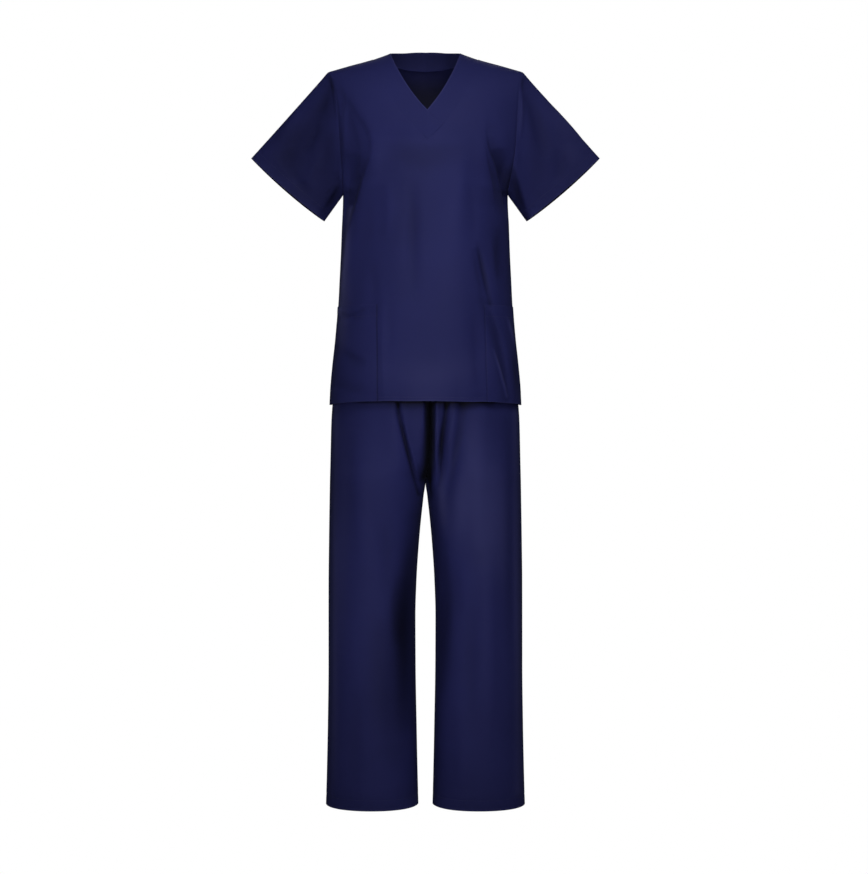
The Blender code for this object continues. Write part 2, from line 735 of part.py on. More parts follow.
def sew(name, point, size, edges, closed=False, normal=None, lift=None, rim=None):
    """Makes one cut piece: a closed wall of cloth whose outer skin follows point(u, v)."""
    columns, rows = size
    normal = normal or normal_of(point, columns, rows, closed)
    across, down = range(columns if closed else columns + 1), range(rows + 1)
    grid = np.array([[point(u, v) for u in across] for v in down])
    normals = np.array([[normal(u, v) for u in across] for v in down])
    if lift:
        grid = grid + normals * np.array([[[lift(u, v)] for u in across] for v in down])
    grid = trim(grid, normals, closed, edges)
    if rim:
        normals[0] = [rim(u, normals[0, u]) for u in across]
    skins = np.concatenate([grid.reshape(-1, 3), (grid - normals * WALL).reshape(-1, 3)])
    mesh = bpy.data.meshes.new(name)
    mesh.from_pydata((skins * METRES).tolist(), [], wall_faces(skins, columns, rows, closed))
    mesh.update()
    mesh.shade_smooth()
    mesh.set_sharp_from_angle(angle=SHARP)
    mesh.materials.append(cloth_material(name))
    bpy.context.collection.objects.link(bpy.data.objects.new(name, mesh))


def make_panels():
    front_rows = YOKE_ROWS[FRONT] + BODY_ROWS + POCKET_ROWS
    point, normal = on_torso(front_place)
    sew("top_front", point, (FRONT_COLUMNS, front_rows), {"top", "sides"}, normal=normal)
    point, normal = on_torso(lambda u, v: back_place(BACK_COLUMNS - u, v))
    size = BACK_COLUMNS, YOKE_ROWS[BACK] + BACK_ROWS
    sew("top_back", point, size, {"top", "sides"}, normal=normal)


def make_neckband():
    place, lift, columns = neckband_functions()
    point, normal = on_torso(place)
    sew("neckband", point, (columns, BAND_ROWS), {"bottom", "sides"}, normal=normal, lift=lift)


def make_pocket(hand, name):
    place, lift = pocket_functions(hand)
    point, normal = on_torso(place)
    size = SHOULDER_COLUMNS, POCKET_ROWS
    sew("pocket_" + name, point, size, {"sides"}, normal=normal, lift=lift)


def make_sleeve(hand, name):
    point, rim = sleeve_functions(hand)
    sew("sleeve_" + name, point, (ARMHOLE_STEPS, SLEEVE_ROWS), {"top"}, closed=True, rim=rim)


def make_leg(hand, name):
    for side in (FRONT, BACK):
        size = LEG_COLUMNS[side], len(LEG_ROWS) - 1
        sew(f"trouser_{side_name(side)}_{name}", trouser_function(side, hand), size, {"top", "sides"})


def make_waistband():
    point, columns = waistband_function()
    sew("waistband", point, (columns, 1), {"bottom"}, closed=True)


for old in list(bpy.data.objects):
    bpy.data.objects.remove(old, do_unlink=True)
make_panels()
make_neckband()
make_waistband()
for each, each_name in ((RIGHT, "right"), (LEFT, "left")):
    make_pocket(each, each_name)
    make_sleeve(each, each_name)
    make_leg(each, each_name)
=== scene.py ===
import math

import bpy
import numpy as np
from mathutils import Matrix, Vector


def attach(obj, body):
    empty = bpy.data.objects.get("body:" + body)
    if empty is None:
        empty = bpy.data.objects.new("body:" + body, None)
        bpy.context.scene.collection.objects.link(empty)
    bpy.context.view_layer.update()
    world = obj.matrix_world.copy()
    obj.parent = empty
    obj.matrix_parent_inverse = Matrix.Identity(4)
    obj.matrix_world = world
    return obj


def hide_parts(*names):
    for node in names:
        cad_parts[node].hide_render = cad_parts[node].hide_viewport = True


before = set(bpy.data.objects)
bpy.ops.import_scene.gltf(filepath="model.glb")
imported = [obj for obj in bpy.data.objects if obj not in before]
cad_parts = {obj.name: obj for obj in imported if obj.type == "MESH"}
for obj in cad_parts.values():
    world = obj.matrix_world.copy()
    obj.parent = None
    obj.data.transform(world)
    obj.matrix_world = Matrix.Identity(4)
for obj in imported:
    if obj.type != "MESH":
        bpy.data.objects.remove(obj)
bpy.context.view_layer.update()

# Lengths are in millimetres until a mesh is made. Right and left are the wearer's, and left is +X.
front, back = -1, 1
right, left = -1, 1
names = {front: "front", back: "back"}
hands = ((right, "Right"), (left, "Left"))
metres = 0.001  # of one unit
rowEase = 0.09  # how much the rows of the yoke close up at both ends
foldFade = 0.8  # less keeps a large fold deep nearer its ends


class Curve:  # a smooth curve through pairs of numbers, which never swings past them
    def __init__(self, keys, values):
        order = np.argsort(keys)
        self.keys = np.array(keys, float)[order]
        self.values = np.array(values, float)[order]
        step = np.diff(self.keys)
        rise = np.diff(self.values) / step
        self.slopes = np.zeros(len(self.keys))
        self.slopes[0], self.slopes[-1] = rise[0], rise[-1]
        for i in range(1, len(rise)):
            if rise[i - 1] * rise[i] > 0:
                self.slopes[i] = 2 * rise[i - 1] * rise[i] / (rise[i - 1] + rise[i])

    def __call__(self, key):
        key = np.clip(key, self.keys[0], self.keys[-1])
        i = np.clip(np.searchsorted(self.keys, key) - 1, 0, len(self.keys) - 2)
        width = self.keys[i + 1] - self.keys[i]
        t = (key - self.keys[i]) / width
        start, end = self.values[i], self.values[i + 1]
        leave, arrive = self.slopes[i] * width, self.slopes[i + 1] * width
        turn = start + t * leave + t * t * (3 * (end - start) - 2 * leave - arrive)
        return turn + t**3 * (2 * (start - end) + leave + arrive)


def curves(labels, rows):
    keys = [row[0] for row in rows]
    return {label: Curve(keys, [row[i + 1] for row in rows]) for i, label in enumerate(labels)}


def mix(a, b, t):
    return a + (b - a) * t


def unit(vectors):
    return vectors / np.maximum(np.linalg.norm(vectors, axis=-1, keepdims=True), 1e-9)


def smooth(t):
    t = np.clip(t, 0, 1)
    return t * t * (3 - 2 * t)


def ease(t):
    return t - rowEase * np.sin(2 * np.pi * t)


def points(*parts):
    return np.stack(np.broadcast_arrays(*parts), axis=-1)


def gridSteps(columns, rows, across=(0, 1), down=(0, 1)):
    return np.meshgrid(np.linspace(*across, columns + 1), np.linspace(*down, rows + 1))


# A soft ridge along the line where the distance is 0. A trough has a negative height.
def ridge(distance, high, wide):
    return high * np.exp(-((distance / wide) ** 2))


# How far the large folds, which the solids have too, move a point inwards.
def foldDepth(folds, x, z):
    total = np.zeros(np.broadcast(x, z).shape)
    for x0, z0, x1, z1, width, depth in folds:
        along = np.array([x1 - x0, z1 - z0])
        t = ((x - x0) * along[0] + (z - z0) * along[1]) / np.dot(along, along)
        off = np.hypot(x - mix(x0, x1, t), z - mix(z0, z1, t))
        total += ridge(off, depth, width) * np.sin(np.pi * np.clip(t, 0, 1)) ** foldFade
    return total


crease = {
    "steps": 5,  # between two points of a crease's line
    "swell": 0.7,  # less keeps it deep nearer its ends
    "turn": 4.0,  # over which its width on one side becomes that on the other
}


# How far the creases press each point of a grid in, and how much painted shade they put on it, or painted
# highlight where that is negative.
def creaseField(creases, grid):
    x, z = grid[..., 0], grid[..., 2]
    inset, shade = np.zeros(x.shape), np.zeros(x.shape)
    for line, widths, depth, ends, paintedShade in creases:
        line = finer(np.array(line, float))
        along = np.diff(line, axis=0)
        lengths = np.linalg.norm(along, axis=1)
        starts = np.concatenate([[0], np.cumsum(lengths)])
        best, place, side = np.full(x.shape, np.inf), np.zeros(x.shape), np.zeros(x.shape)
        for start, step, length, before in zip(line, along, lengths, starts):
            dx, dz = x - start[0], z - start[1]
            t = np.clip((dx * step[0] + dz * step[1]) / length**2, 0, 1)
            off = np.hypot(dx - t * step[0], dz - t * step[1])
            nearer = off < best
            best = np.where(nearer, off, best)
            place = np.where(nearer, (before + t * length) / starts[-1], place)
            side = np.where(nearer, (step[0] * dz - step[1] * dx) / length, side)
        level = np.maximum(
            np.sin(np.pi * place) ** crease["swell"],
            np.where(place < 0.5, ends[0], ends[1]) * np.cos(np.pi * place) ** 2,
        )
        width = mix(widths[1], widths[0], 0.5 + 0.5 * np.tanh(side / crease["turn"]))
        high = ridge(best, level, width)
        inset += depth * high
        shade += paintedShade * high
    return inset, shade


def finer(line):  # a smooth line through the points
    if len(line) == 2:
        return line
    whole = np.concatenate([[2 * line[0] - line[1]], line, [2 * line[-1] - line[-2]]])
    out = []
    for a, b, c, d in zip(whole, whole[1:], whole[2:], whole[3:]):
        for i in range(crease["steps"]):
            t = i / crease["steps"]
            square, cube = 2 * a - 5 * b + 4 * c - d, 3 * b - a - 3 * c + d
            out.append(0.5 * (2 * b + (c - a) * t + square * t**2 + cube * t**3))
    out.append(line[-1])
    return np.array(out)


# The form of the top, the same as the solid's.
topForm = {
    "underarm": -297.0,
    "hem": -739.5,
    "hemRise": 4.0,
    "sideSeamY": 8.0,
    "ridgeY": 11.0,
    "armholeY": {front: -46.0, back: 68.0},
    "armholeRound": 87.0,
    "pocketMouth": -535.0,
    "neckHalf": 74.0,
    "neckPoint": (4.0, -138.0),
    "neckBow": 8.0,
    "bandHalf": 114.0,
    "bandPoint": (6.0, -203.0),
    "bandBow": 14.0,
    "backNeckRise": 12.0,
    "backBandHalf": 108.0,
    "backBandHeight": -22.0,
    "seamDrop": (3.5, 5.5),
    "yokeDip": 30.0,
    "backSpread": 0.62,
    "edgeFade": 0.15,  # share of the half-ring beside a side edge over which folds die out
    "armholeSoft": (-0.55, 1.6),  # where the armhole's turn starts away from its edge, and how long it is
    "armholeSharp": 8,  # more keeps the sharp turn nearer the edge
}
torso = curves(("right", "left", "front", "back"), [  # half-widths and y, by height
    (60, 205.0, 205.0, -84, 96),
    (0, 205.0, 205.0, -90, 104),
    (-41, 205.0, 205.0, -93, 110),
    (-55, 195.5, 199.5, -95, 111),
    (-80, 188.5, 195.5, -98, 113),
    (-110, 183.5, 193.0, -103, 115),
    (-160, 179.8, 190.0, -119, 118),
    (-204, 177.2, 187.5, -138, 117),
    (-240, 174.5, 182.5, -142, 114),
    (-270, 173.2, 177.0, -140, 111),
    (-297, 172.8, 172.8, -138, 108),
    (-376, 175.4, 175.4, -131, 100),
    (-427, 177.2, 177.2, -127, 97),
    (-477, 179.6, 179.6, -125, 99),
    (-527, 182.2, 182.2, -126, 103),
    (-552, 184.0, 184.0, -127, 106),
    (-603, 188.6, 188.6, -130, 113),
    (-653, 194.2, 194.2, -134, 120),
    (-704, 198.8, 198.8, -138, 126),
    (-739.5, 200.5, 200.5, -140, 129),
])
turnStops = [(60, 50), (-41, 52), (-150, 58), (-230, 68), (-270, 78), (-297, 90), (-739.5, 90)]
turnAngle = curves(("angle",), turnStops)["angle"]  # how far a ring has turned to the side at its edge
shoulderNames = ("frontRidge", "backRidge", "frontSettle", "backSettle", "frontBend", "backBend")
shoulder = curves(shoulderNames, [  # by distance from the middle
    (0, 24, 45, 170, 126, 1.00, 0.68),
    (37, 14, 32, 155, 123, 0.90, 0.70),
    (74, 0, 0, 132, 118, 0.78, 0.70),
    (114, -14.6, -14.6, 105, 100, 0.64, 0.60),
    (160, -27.7, -27.7, 88, 88, 0.54, 0.54),
    (205, -40.6, -40.6, 76, 80, 0.50, 0.50),
])
columnLines = curves(("right", "centre", "left"), [  # x by height
    (-297, -108.0, 7.0, 118.0),
    (-535, -98.7, 9.0, 121.3),
    (-739.5, -95.4, 10.0, 126.2),
])
shoulderAcross = 205.0
hemStops = [
    (0, 0), (0.08, 1.2), (0.16, 3.4), (0.26, 2.9), (0.38, 1.2),
    (0.70, 0.8), (0.80, 2.4), (0.90, 0.9), (1, -0.4),
]
hemWave = curves(("rise",), hemStops)["rise"]  # of the front, from its right edge to its left
topFolds = {  # x and z of both ends, width and depth
    front: [
        (-148, -225, -178, -360, 22, 9),
        (150, -215, 180, -350, 22, 12),
        (-118, -190, -98, -300, 18, -3),
        (104, -420, 130, -530, 11, 6),
        (66, -330, 74, -690, 30, -4),
        (-32, -290, -26, -560, 22, 3),
        (-150, -380, -166, -530, 13, -4),
    ],
    back: [
        (-120, -210, -150, -350, 24, 7),
        (124, -200, 152, -340, 24, 8),
        (-70, -330, -46, -640, 26, 5),
        (64, -350, 88, -660, 28, 5),
        (8, -240, 2, -520, 34, -4),
    ],
}
searchSteps = {"height": 14, "tip": 12}  # to where the roll over the shoulder meets a point's height
searchStart = -100.0
nearby = 0.01  # over which the direction of the surface is measured

# Columns of the solids on each hand, along the shoulder seam, along the V and round the back of the neck.
seamColumns, neckColumns, backNeckColumns = 6, 10, 7
frontColumns, backColumns = 2 * (seamColumns + neckColumns), 2 * (seamColumns + 1 + backNeckColumns)
yokeRows = {front: 10, back: 11}
bodyRows, pocketRows, backRows = 6, 5, 8
mouthRow = yokeRows[front] + bodyRows
lastRow = {front: mouthRow + pocketRows, back: yokeRows[back] + backRows}
armholeSteps = yokeRows[front] + yokeRows[back]
ridgeRow = 2  # of the back, on the ridge of the shoulder
panelStops = [0, seamColumns / frontColumns, 0.5, 1 - seamColumns / frontColumns, 1]


def halfWidth(side, hand, height):
    if side == back:
        return (torso["right"](height) + torso["left"](height)) / 2
    return np.where(hand < 0, torso["right"](height), torso["left"](height))


# y of the armhole's edge, whose sharp turn at the underarm softens away from the edge.
def armholeEdge(side, height, nearness):
    t = (height - topForm["underarm"]) / topForm["armholeRound"]
    bulge = np.sqrt(np.maximum(1 - (1 - np.clip(t, 0, 1)) ** 2, 0))
    begin, long = topForm["armholeSoft"]
    soft = smooth((t - begin) / long)
    bulge = mix(soft, bulge, nearness ** topForm["armholeSharp"])
    return mix(topForm["sideSeamY"], topForm["armholeY"][side], bulge)


def ringPoint(side, angle, height):
    limit = np.radians(turnAngle(height))
    x = halfWidth(side, angle, height) * np.sin(angle) / np.sin(limit)
    rise = (np.cos(angle) - np.cos(limit)) / (1 - np.cos(limit))
    nearness = np.clip(np.abs(angle) / limit, 0, 1)
    return x, mix(armholeEdge(side, height, nearness), torso[names[side]](height), rise)


def depthBelowRidge(roll, settle):
    roll = np.abs(roll)
    curved = 1 - np.cos(np.minimum(roll, 1) * np.pi / 2)
    return settle * (curved + np.maximum(roll - 1, 0) * np.pi / 2)


def rollAtDepth(depth, settle):
    share = depth / settle
    curved = np.arccos(1 - np.clip(share, 0, 1)) * 2 / np.pi
    return curved + np.maximum(share - 1, 0) * 2 / np.pi


def sidePoint(side, spread, roll):
    name = names[side]
    height = np.full(np.shape(spread), searchStart)
    for _ in range(searchSteps["height"]):
        angle = spread * np.radians(turnAngle(height))
        x, y = ringPoint(side, angle, height)
        across = np.abs(x)
        settle = shoulder[name + "Settle"](across)
        depth = depthBelowRidge(roll, settle)
        height = shoulder[name + "Ridge"](across) - depth
    covered = np.minimum(depth / settle, 1.0)
    rolled = (1 - (1 - covered) ** 2) ** shoulder[name + "Bend"](across)
    inward = foldDepth(topFolds[side], x, height) * smooth((1 - np.abs(spread)) / topForm["edgeFade"])
    y = mix(topForm["ridgeY"], y, rolled)
    return points(x - inward * np.sin(angle), y - side * inward * np.cos(angle), height)


def torsoPoint(place):
    spread, roll = np.broadcast_arrays(*place)
    ahead = sidePoint(front, spread, roll)
    behind = sidePoint(back, spread, roll)
    return np.where((roll < 0)[..., None], ahead, behind)


def torsoNormal(place):
    spread, roll = np.broadcast_arrays(*place)
    east, west = np.minimum(spread + nearby, 1), np.maximum(spread - nearby, -1)
    across = torsoPoint((east, roll)) - torsoPoint((west, roll))
    down = torsoPoint((spread, roll + nearby)) - torsoPoint((spread, roll - nearby))
    return unit(np.cross(across, down))


def torsoPlace(side, x, height):
    limit = np.radians(turnAngle(height))
    sine = np.clip(x / halfWidth(side, x, height), -1, 1) * np.sin(limit)
    name = names[side]
    depth = shoulder[name + "Ridge"](np.abs(x)) - height
    return np.arcsin(sine) / limit, side * rollAtDepth(depth, shoulder[name + "Settle"](np.abs(x)))


def seamHeight(x):
    t = (np.abs(x) - topForm["neckHalf"]) / (shoulderAcross - topForm["neckHalf"])
    return shoulder["frontRidge"](np.abs(x)) - mix(*topForm["seamDrop"], np.clip(t, 0, 1))


def shoulderTip(hand):
    x = shoulderAcross
    for _ in range(searchSteps["tip"]):
        x = float(halfWidth(front, hand, seamHeight(x)))
    return x


shoulderTips = {hand: shoulderTip(hand) for hand in (right, left)}


def seamPlace(hand, t):
    x = hand * mix(shoulderTips[hand], topForm["bandHalf"], t)
    return torsoPlace(front, x, seamHeight(x))


def bowed(start, end, bow, t):
    start, end = np.array(start, float), np.array(end, float)
    along = (end - start) / np.linalg.norm(end - start)
    swell = bow * 4 * t * (1 - t)
    return mix(start[0], end[0], t) - along[1] * swell, mix(start[1], end[1], t) + along[0] * swell


# An edge of the V, from its point up to the shoulder seam.
def neckLine(hand, t, half, point, bow):
    end = hand * half
    return torsoPlace(front, *bowed(topForm[point], (end, float(seamHeight(end))), -hand * topForm[bow], t))


def neckEdgeFront(hand, t):
    return neckLine(hand, t, topForm["neckHalf"] - 1, "neckPoint", "neckBow")


def bandSeamFront(hand, t):
    return neckLine(hand, t, topForm["bandHalf"], "bandPoint", "bandBow")


def neckEdgeBack(hand, t):
    half = topForm["neckHalf"]
    x = half * np.cos(t * np.pi / 2)
    return torsoPlace(back, hand * x, topForm["backNeckRise"] * (1 - (x / half) ** 2))


def bandSeamBack(hand, t):
    half = topForm["backBandHalf"]
    x = half * np.cos(t * np.pi / 2)
    ridge = shoulder["backRidge"](half)
    return torsoPlace(back, hand * x, mix(topForm["backBandHeight"], ridge, (x / half) ** 2))


def blendPlaces(first, second, t):
    return tuple(mix(a, b, t) for a, b in zip(first, second))


def choose(tests, places):  # the first place whose test holds, else the last
    spread, roll = places[-1]
    for test, place in reversed(list(zip(tests, places))):
        spread, roll = np.where(test, place[0], spread), np.where(test, place[1], roll)
    return spread, roll


def ringPlace(side, spread, height):
    x, _ = ringPoint(side, spread * np.radians(turnAngle(height)), height)
    return spread, torsoPlace(side, x, height)[1]


def levelRow(across, height, rise):
    return height + rise * np.cos((2 * across - 1) * np.pi / 2)


def bothHands(make, u, t):
    return tuple(np.where(u < 0.5, a, b) for a, b in zip(make(right, t), make(left, t)))


# u runs from the right edge, 0, to the left edge, 1, and v counts rows as the solid's do.
def frontTop(u):
    near = np.minimum(u, 1 - u) * frontColumns
    seamSide = bothHands(seamPlace, u, near / seamColumns)
    bandSide = bothHands(bandSeamFront, u, np.clip(1 - (near - seamColumns) / neckColumns, 0, 1))
    return choose([near < seamColumns], [seamSide, bandSide])


def frontSpread(u, height):
    inner = [torsoPlace(front, line(height), height)[0] for line in columnLines.values()]
    values = [-np.ones_like(height), *inner, np.ones_like(height)]
    out = np.zeros(np.broadcast(u, height).shape)
    for low, high, first, last in zip(panelStops, panelStops[1:], values, values[1:]):
        t = (u - low) / (high - low)
        out = np.where((t >= 0) & (t <= 1), mix(first, last, t), out)
    return out


def frontPlace(u, v):
    yokeEnd = yokeRows[front]
    yoke = levelRow(u, topForm["underarm"], -topForm["yokeDip"])
    low = ringPlace(front, frontSpread(u, yoke), yoke)
    upper = blendPlaces(frontTop(u), low, ease(np.clip(v / yokeEnd, 0, 1)))
    hem = levelRow(u, topForm["hem"], topForm["hemRise"]) + hemWave(u)
    mouth = topForm["pocketMouth"]
    toMouth = mix(yoke, mouth, np.clip((v - yokeEnd) / bodyRows, 0, 1))
    toHem = mix(mouth, hem, np.clip((v - mouthRow) / pocketRows, 0, 1))
    height = np.where(v < mouthRow, toMouth, toHem)
    return choose([v < yokeEnd], [upper, ringPlace(front, frontSpread(u, height), height)])


def backTop(u):
    near = np.minimum(u, 1 - u) * backColumns
    bandStart = seamColumns + 1
    seamSide = bothHands(seamPlace, u, np.clip(near / seamColumns, 0, 1))
    seamEnd, bandEnd = bothHands(seamPlace, u, np.ones_like(u)), bothHands(bandSeamBack, u, np.zeros_like(u))
    corner = blendPlaces(seamEnd, bandEnd, np.clip(near - seamColumns, 0, 1))
    bandSide = bothHands(bandSeamBack, u, np.clip((near - bandStart) / backNeckColumns, 0, 1))
    return choose([near <= seamColumns, near < bandStart], [seamSide, corner, bandSide])


def backPlace(u, v):
    yokeEnd, reach = yokeRows[back], topForm["backSpread"]
    stops = [0, seamColumns / backColumns, (backColumns - seamColumns) / backColumns, 1]
    spread = np.interp(u, stops, [-1, -reach, reach, 1])
    yoke = levelRow(u, topForm["underarm"], -topForm["yokeDip"])
    upper = blendPlaces(backTop(u), ringPlace(back, spread, yoke), ease(np.clip(v / yokeEnd, 0, 1)))
    hem = levelRow(u, topForm["hem"], topForm["hemRise"])
    height = mix(yoke, hem, np.clip((v - yokeEnd) / backRows, 0, 1))
    return choose([v < yokeEnd], [upper, ringPlace(back, spread, height)])


print("form ready")

cloth = {
    "wall": 0.7,  # thickness of one layer
    "seamDeep": 3.2,  # how far sewn edges go down into their seams
    "seamTurn": 1.2,  # length of the turn there, in layers
    "seamReach": 30.0,  # over which the rise beside a seam dies out
    "hemMore": 0.9,  # thickness that a hem adds
    "hemEase": 2.0,
    "grooveWide": 1.6,  # of the trough along a stitched line
    "sharp": 55,  # degrees
    "navy": (0.0153, 0.0173, 0.0880),
    "wearAndHighlight": (0.1008, 0.1028, 0.2559),  # pale colour for wear and for painted highlights, along edges and seams and on the crests of folds
    "wearAndHighlightShare": 0.225,  # of the pale colour, where the wear and painted highlight is 1
    "wearAndHighlightWithin": 0.4,  # of the outside's wear and painted highlight, on the inner skin
    "paintedInsideShade": (0.0029, 0.0031, 0.0155),  # painted shade inside the garment, on the inner skin
    "insideShade": 0.25,
    "shade": (0.0004, 0.0004, 0.0030),  # deep in folds and under the hem of the top
    "thread": (0.009, 0.010, 0.050),
    "patches": (0.93, 1.06),  # of the navy, where the dye took less and more
    "patchSize": (5.0, 3.0),  # scale and detail
    "patchRange": (0.35, 0.65),
    "rough": 0.70,
    "sheen": 0.01,
    "sheenRough": 0.45,
    "sheenTint": (0.55, 0.60, 1.0),
    "gloss": 0.10,
    "threadPitch": 0.00055,
    "weave": (0.25, 0.00012),  # strength and depth
    "slack": (0.35, 0.0016),
    "slackSize": (26.0, 2.0),
}
wall = cloth["wall"]


def gridNormals(grid, closed=False):
    if closed:
        across = np.roll(grid, -1, axis=1) - np.roll(grid, 1, axis=1)
    else:
        across = np.gradient(grid, axis=1)
    down = np.gradient(grid, axis=0)
    return unit(np.cross(down, across))


# How far each point is from the top, bottom, first and last edge of its piece.
def edgeDistances(grid, closed=False):
    downSteps = np.linalg.norm(np.diff(grid, axis=0), axis=-1)
    fromTop = np.concatenate([np.zeros((1, grid.shape[1])), np.cumsum(downSteps, axis=0)])
    out = {"top": fromTop, "bottom": fromTop[-1] - fromTop}
    if closed:
        steps = np.linalg.norm(np.roll(grid, -1, axis=1) - grid, axis=-1)
        out["along"] = np.cumsum(steps, axis=1) - steps
    else:
        steps = np.linalg.norm(np.diff(grid, axis=1), axis=-1)
        out["first"] = np.concatenate([np.zeros((grid.shape[0], 1)), np.cumsum(steps, axis=1)], axis=1)
        out["last"] = out["first"][:, -1:] - out["first"]
        out["along"] = out["first"]
    return out


# Uneven waves along a seam, about 1 high.
def wobble(t, seed):
    rng = np.random.default_rng(seed)
    total = np.zeros(np.shape(t))
    for length, high in ((23, 0.5), (14, 0.6), (9, 0.45), (37, 0.4)):
        total += high * np.sin(2 * np.pi * t / (length * rng.uniform(0.9, 1.1)) + rng.uniform(0, 6.3))
    return total


# A strip more at a sewn edge, which goes down into the seam.
def turnIn(outer, inner, normals, edge):
    axis = 0 if edge in ("top", "bottom") else 1
    first = edge in ("top", "first")
    outer, inner, normals = [np.moveaxis(part, axis, 0) for part in (outer, inner, normals)]
    at, beside = (0, 1) if first else (-1, -2)
    away = unit(outer[beside] - outer[at]) * wall * cloth["seamTurn"]
    deep = normals[at] * cloth["seamDeep"]
    inner = inner.copy()
    inner[at] = inner[at] + away
    pads = outer[at] - deep, outer[at] - deep + away, normals[at]
    parts = []
    for part, pad in zip((outer, inner, normals), pads):
        whole = np.concatenate([pad[None], part] if first else [part, pad[None]])
        parts.append(np.moveaxis(whole, 0, axis))
    return parts


def padded(values, edge):
    widths = [[0, 0] for _ in values.shape]
    widths[0 if edge in ("top", "bottom") else 1][0 if edge in ("top", "first") else 1] = 1
    return np.pad(values, widths, mode="edge")


# A closed wall between two skins, with its own uv in metres and attributes for its colour.
def makeCloth(name, outer, normals, thick, wearAndHighlight, shade, sewn=(), closed=False, innerShade=1.0, insideHighlight=0.0):
    # Negative painted shade from the creases becomes painted highlight in the pale mark, which also holds
    # wear.
    wearAndHighlight = (wearAndHighlight + np.maximum(-shade, 0)) * cloth["wearAndHighlightShare"]
    shade = np.clip(shade, 0, 1) + np.zeros_like(wearAndHighlight)
    innerShade = innerShade + np.zeros_like(wearAndHighlight)
    far = edgeDistances(outer, closed)
    flat = np.stack([far["along"], far["top"]], -1)
    inner = outer - normals * np.broadcast_to(thick, outer.shape[:2])[..., None]
    for edge in sewn:
        outer, inner, normals = turnIn(outer, inner, normals, edge)
        wearAndHighlight, shade, innerShade, flat = [padded(part, edge) for part in (wearAndHighlight, shade, innerShade, flat)]
    rows, columns = outer.shape[0], outer.shape[1]
    count = rows * columns
    verts = np.concatenate([outer.reshape(-1, 3), inner.reshape(-1, 3)]) * metres
    index = np.arange(count).reshape(rows, columns)
    if closed:
        index = np.concatenate([index, index[:, :1]], axis=1)

    def rim(a, b):
        return np.stack([a, a + count, b + count, b], -1)

    outside = np.stack([index[:-1, :-1], index[1:, :-1], index[1:, 1:], index[:-1, 1:]], -1).reshape(-1, 4)
    rims = [rim(index[0, 1:], index[0, :-1]), rim(index[-1, :-1], index[-1, 1:])]
    if not closed:
        rims += [rim(index[:-1, 0], index[1:, 0]), rim(index[1:, -1], index[:-1, -1])]
    quads = np.concatenate([outside, outside[:, ::-1] + count, *rims]).astype(np.int32)
    mesh = bpy.data.meshes.new(name)
    mesh.vertices.add(len(verts))
    mesh.vertices.foreach_set("co", verts.ravel())
    mesh.loops.add(quads.size)
    mesh.loops.foreach_set("vertex_index", quads.ravel())
    mesh.polygons.add(len(quads))
    mesh.polygons.foreach_set("loop_start", np.arange(0, quads.size, 4, dtype=np.int32))
    mesh.update(calc_edges=True)
    mesh.shade_smooth()
    mesh.set_sharp_from_angle(angle=math.radians(cloth["sharp"]))
    flat = np.tile(flat.reshape(-1, 2) * metres, (2, 1))
    uv = mesh.uv_layers.new(name="cloth")
    uv.data.foreach_set("uv", flat[quads.ravel()].ravel().astype(np.float32))
    # The inner skin gets painted shade for the dark inside of the garment, less wear and painted highlight
    # than the outer one, and painted highlight on the neck band's inner side.
    marks = {  # on the outer skin and on the inner one
        "wearAndHighlight": (wearAndHighlight, wearAndHighlight * cloth["wearAndHighlightWithin"] + insideHighlight * cloth["wearAndHighlightShare"]),
        "shade": (shade, np.maximum(shade, cloth["insideShade"] * innerShade)),
        "paintedInsideShade": (wearAndHighlight * 0, innerShade),
    }
    for label, skins in marks.items():
        values = np.concatenate([skin.ravel() for skin in skins]).astype(np.float32)
        mesh.attributes.new(label, "FLOAT", "POINT").data.foreach_set("value", values)
    mesh.validate()
    return newObject(name, mesh)


def newObject(name, data):
    obj = bpy.data.objects.new(name, data)
    bpy.context.collection.objects.link(obj)
    return obj


def finishCloth(name, obj):
    obj.data.materials.append(clothMaterial(name))
    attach(obj, "root")
    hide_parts(name)
    area = sum(p.area for p in obj.data.polygons) / 2
    print(f"made {name}: {len(obj.data.polygons)} faces, about {area:.3f} m2 of cloth")


# Cloth rises beside a seam, and leaves the seam itself where it is.
def seamPillow(distance, high, wide):
    return high * (1 - ridge(distance, 1, wide)) * (1 - smooth(distance / cloth["seamReach"]))


def groove(distance, deep):
    return ridge(distance, -deep, cloth["grooveWide"])


def hemThickness(distance, deep, more=cloth["hemMore"]):
    return wall + more * (1 - smooth((distance - deep) / cloth["hemEase"]))


def newNode(tree, kind, inputs=(), **settings):
    node = tree.nodes.new(kind)
    for key, value in settings.items():
        setattr(node, key, value)
    for key, value in dict(inputs).items():
        if isinstance(value, bpy.types.NodeSocket):
            tree.links.new(value, node.inputs[key])
        else:
            node.inputs[key].default_value = value
    return node


def newMaterial(name):
    material = bpy.data.materials.new(name)
    material.use_nodes = True
    return material, material.node_tree, material.node_tree.nodes["Principled BSDF"].inputs


def opaque(colour, share=1):
    return (*[c * share for c in colour], 1)


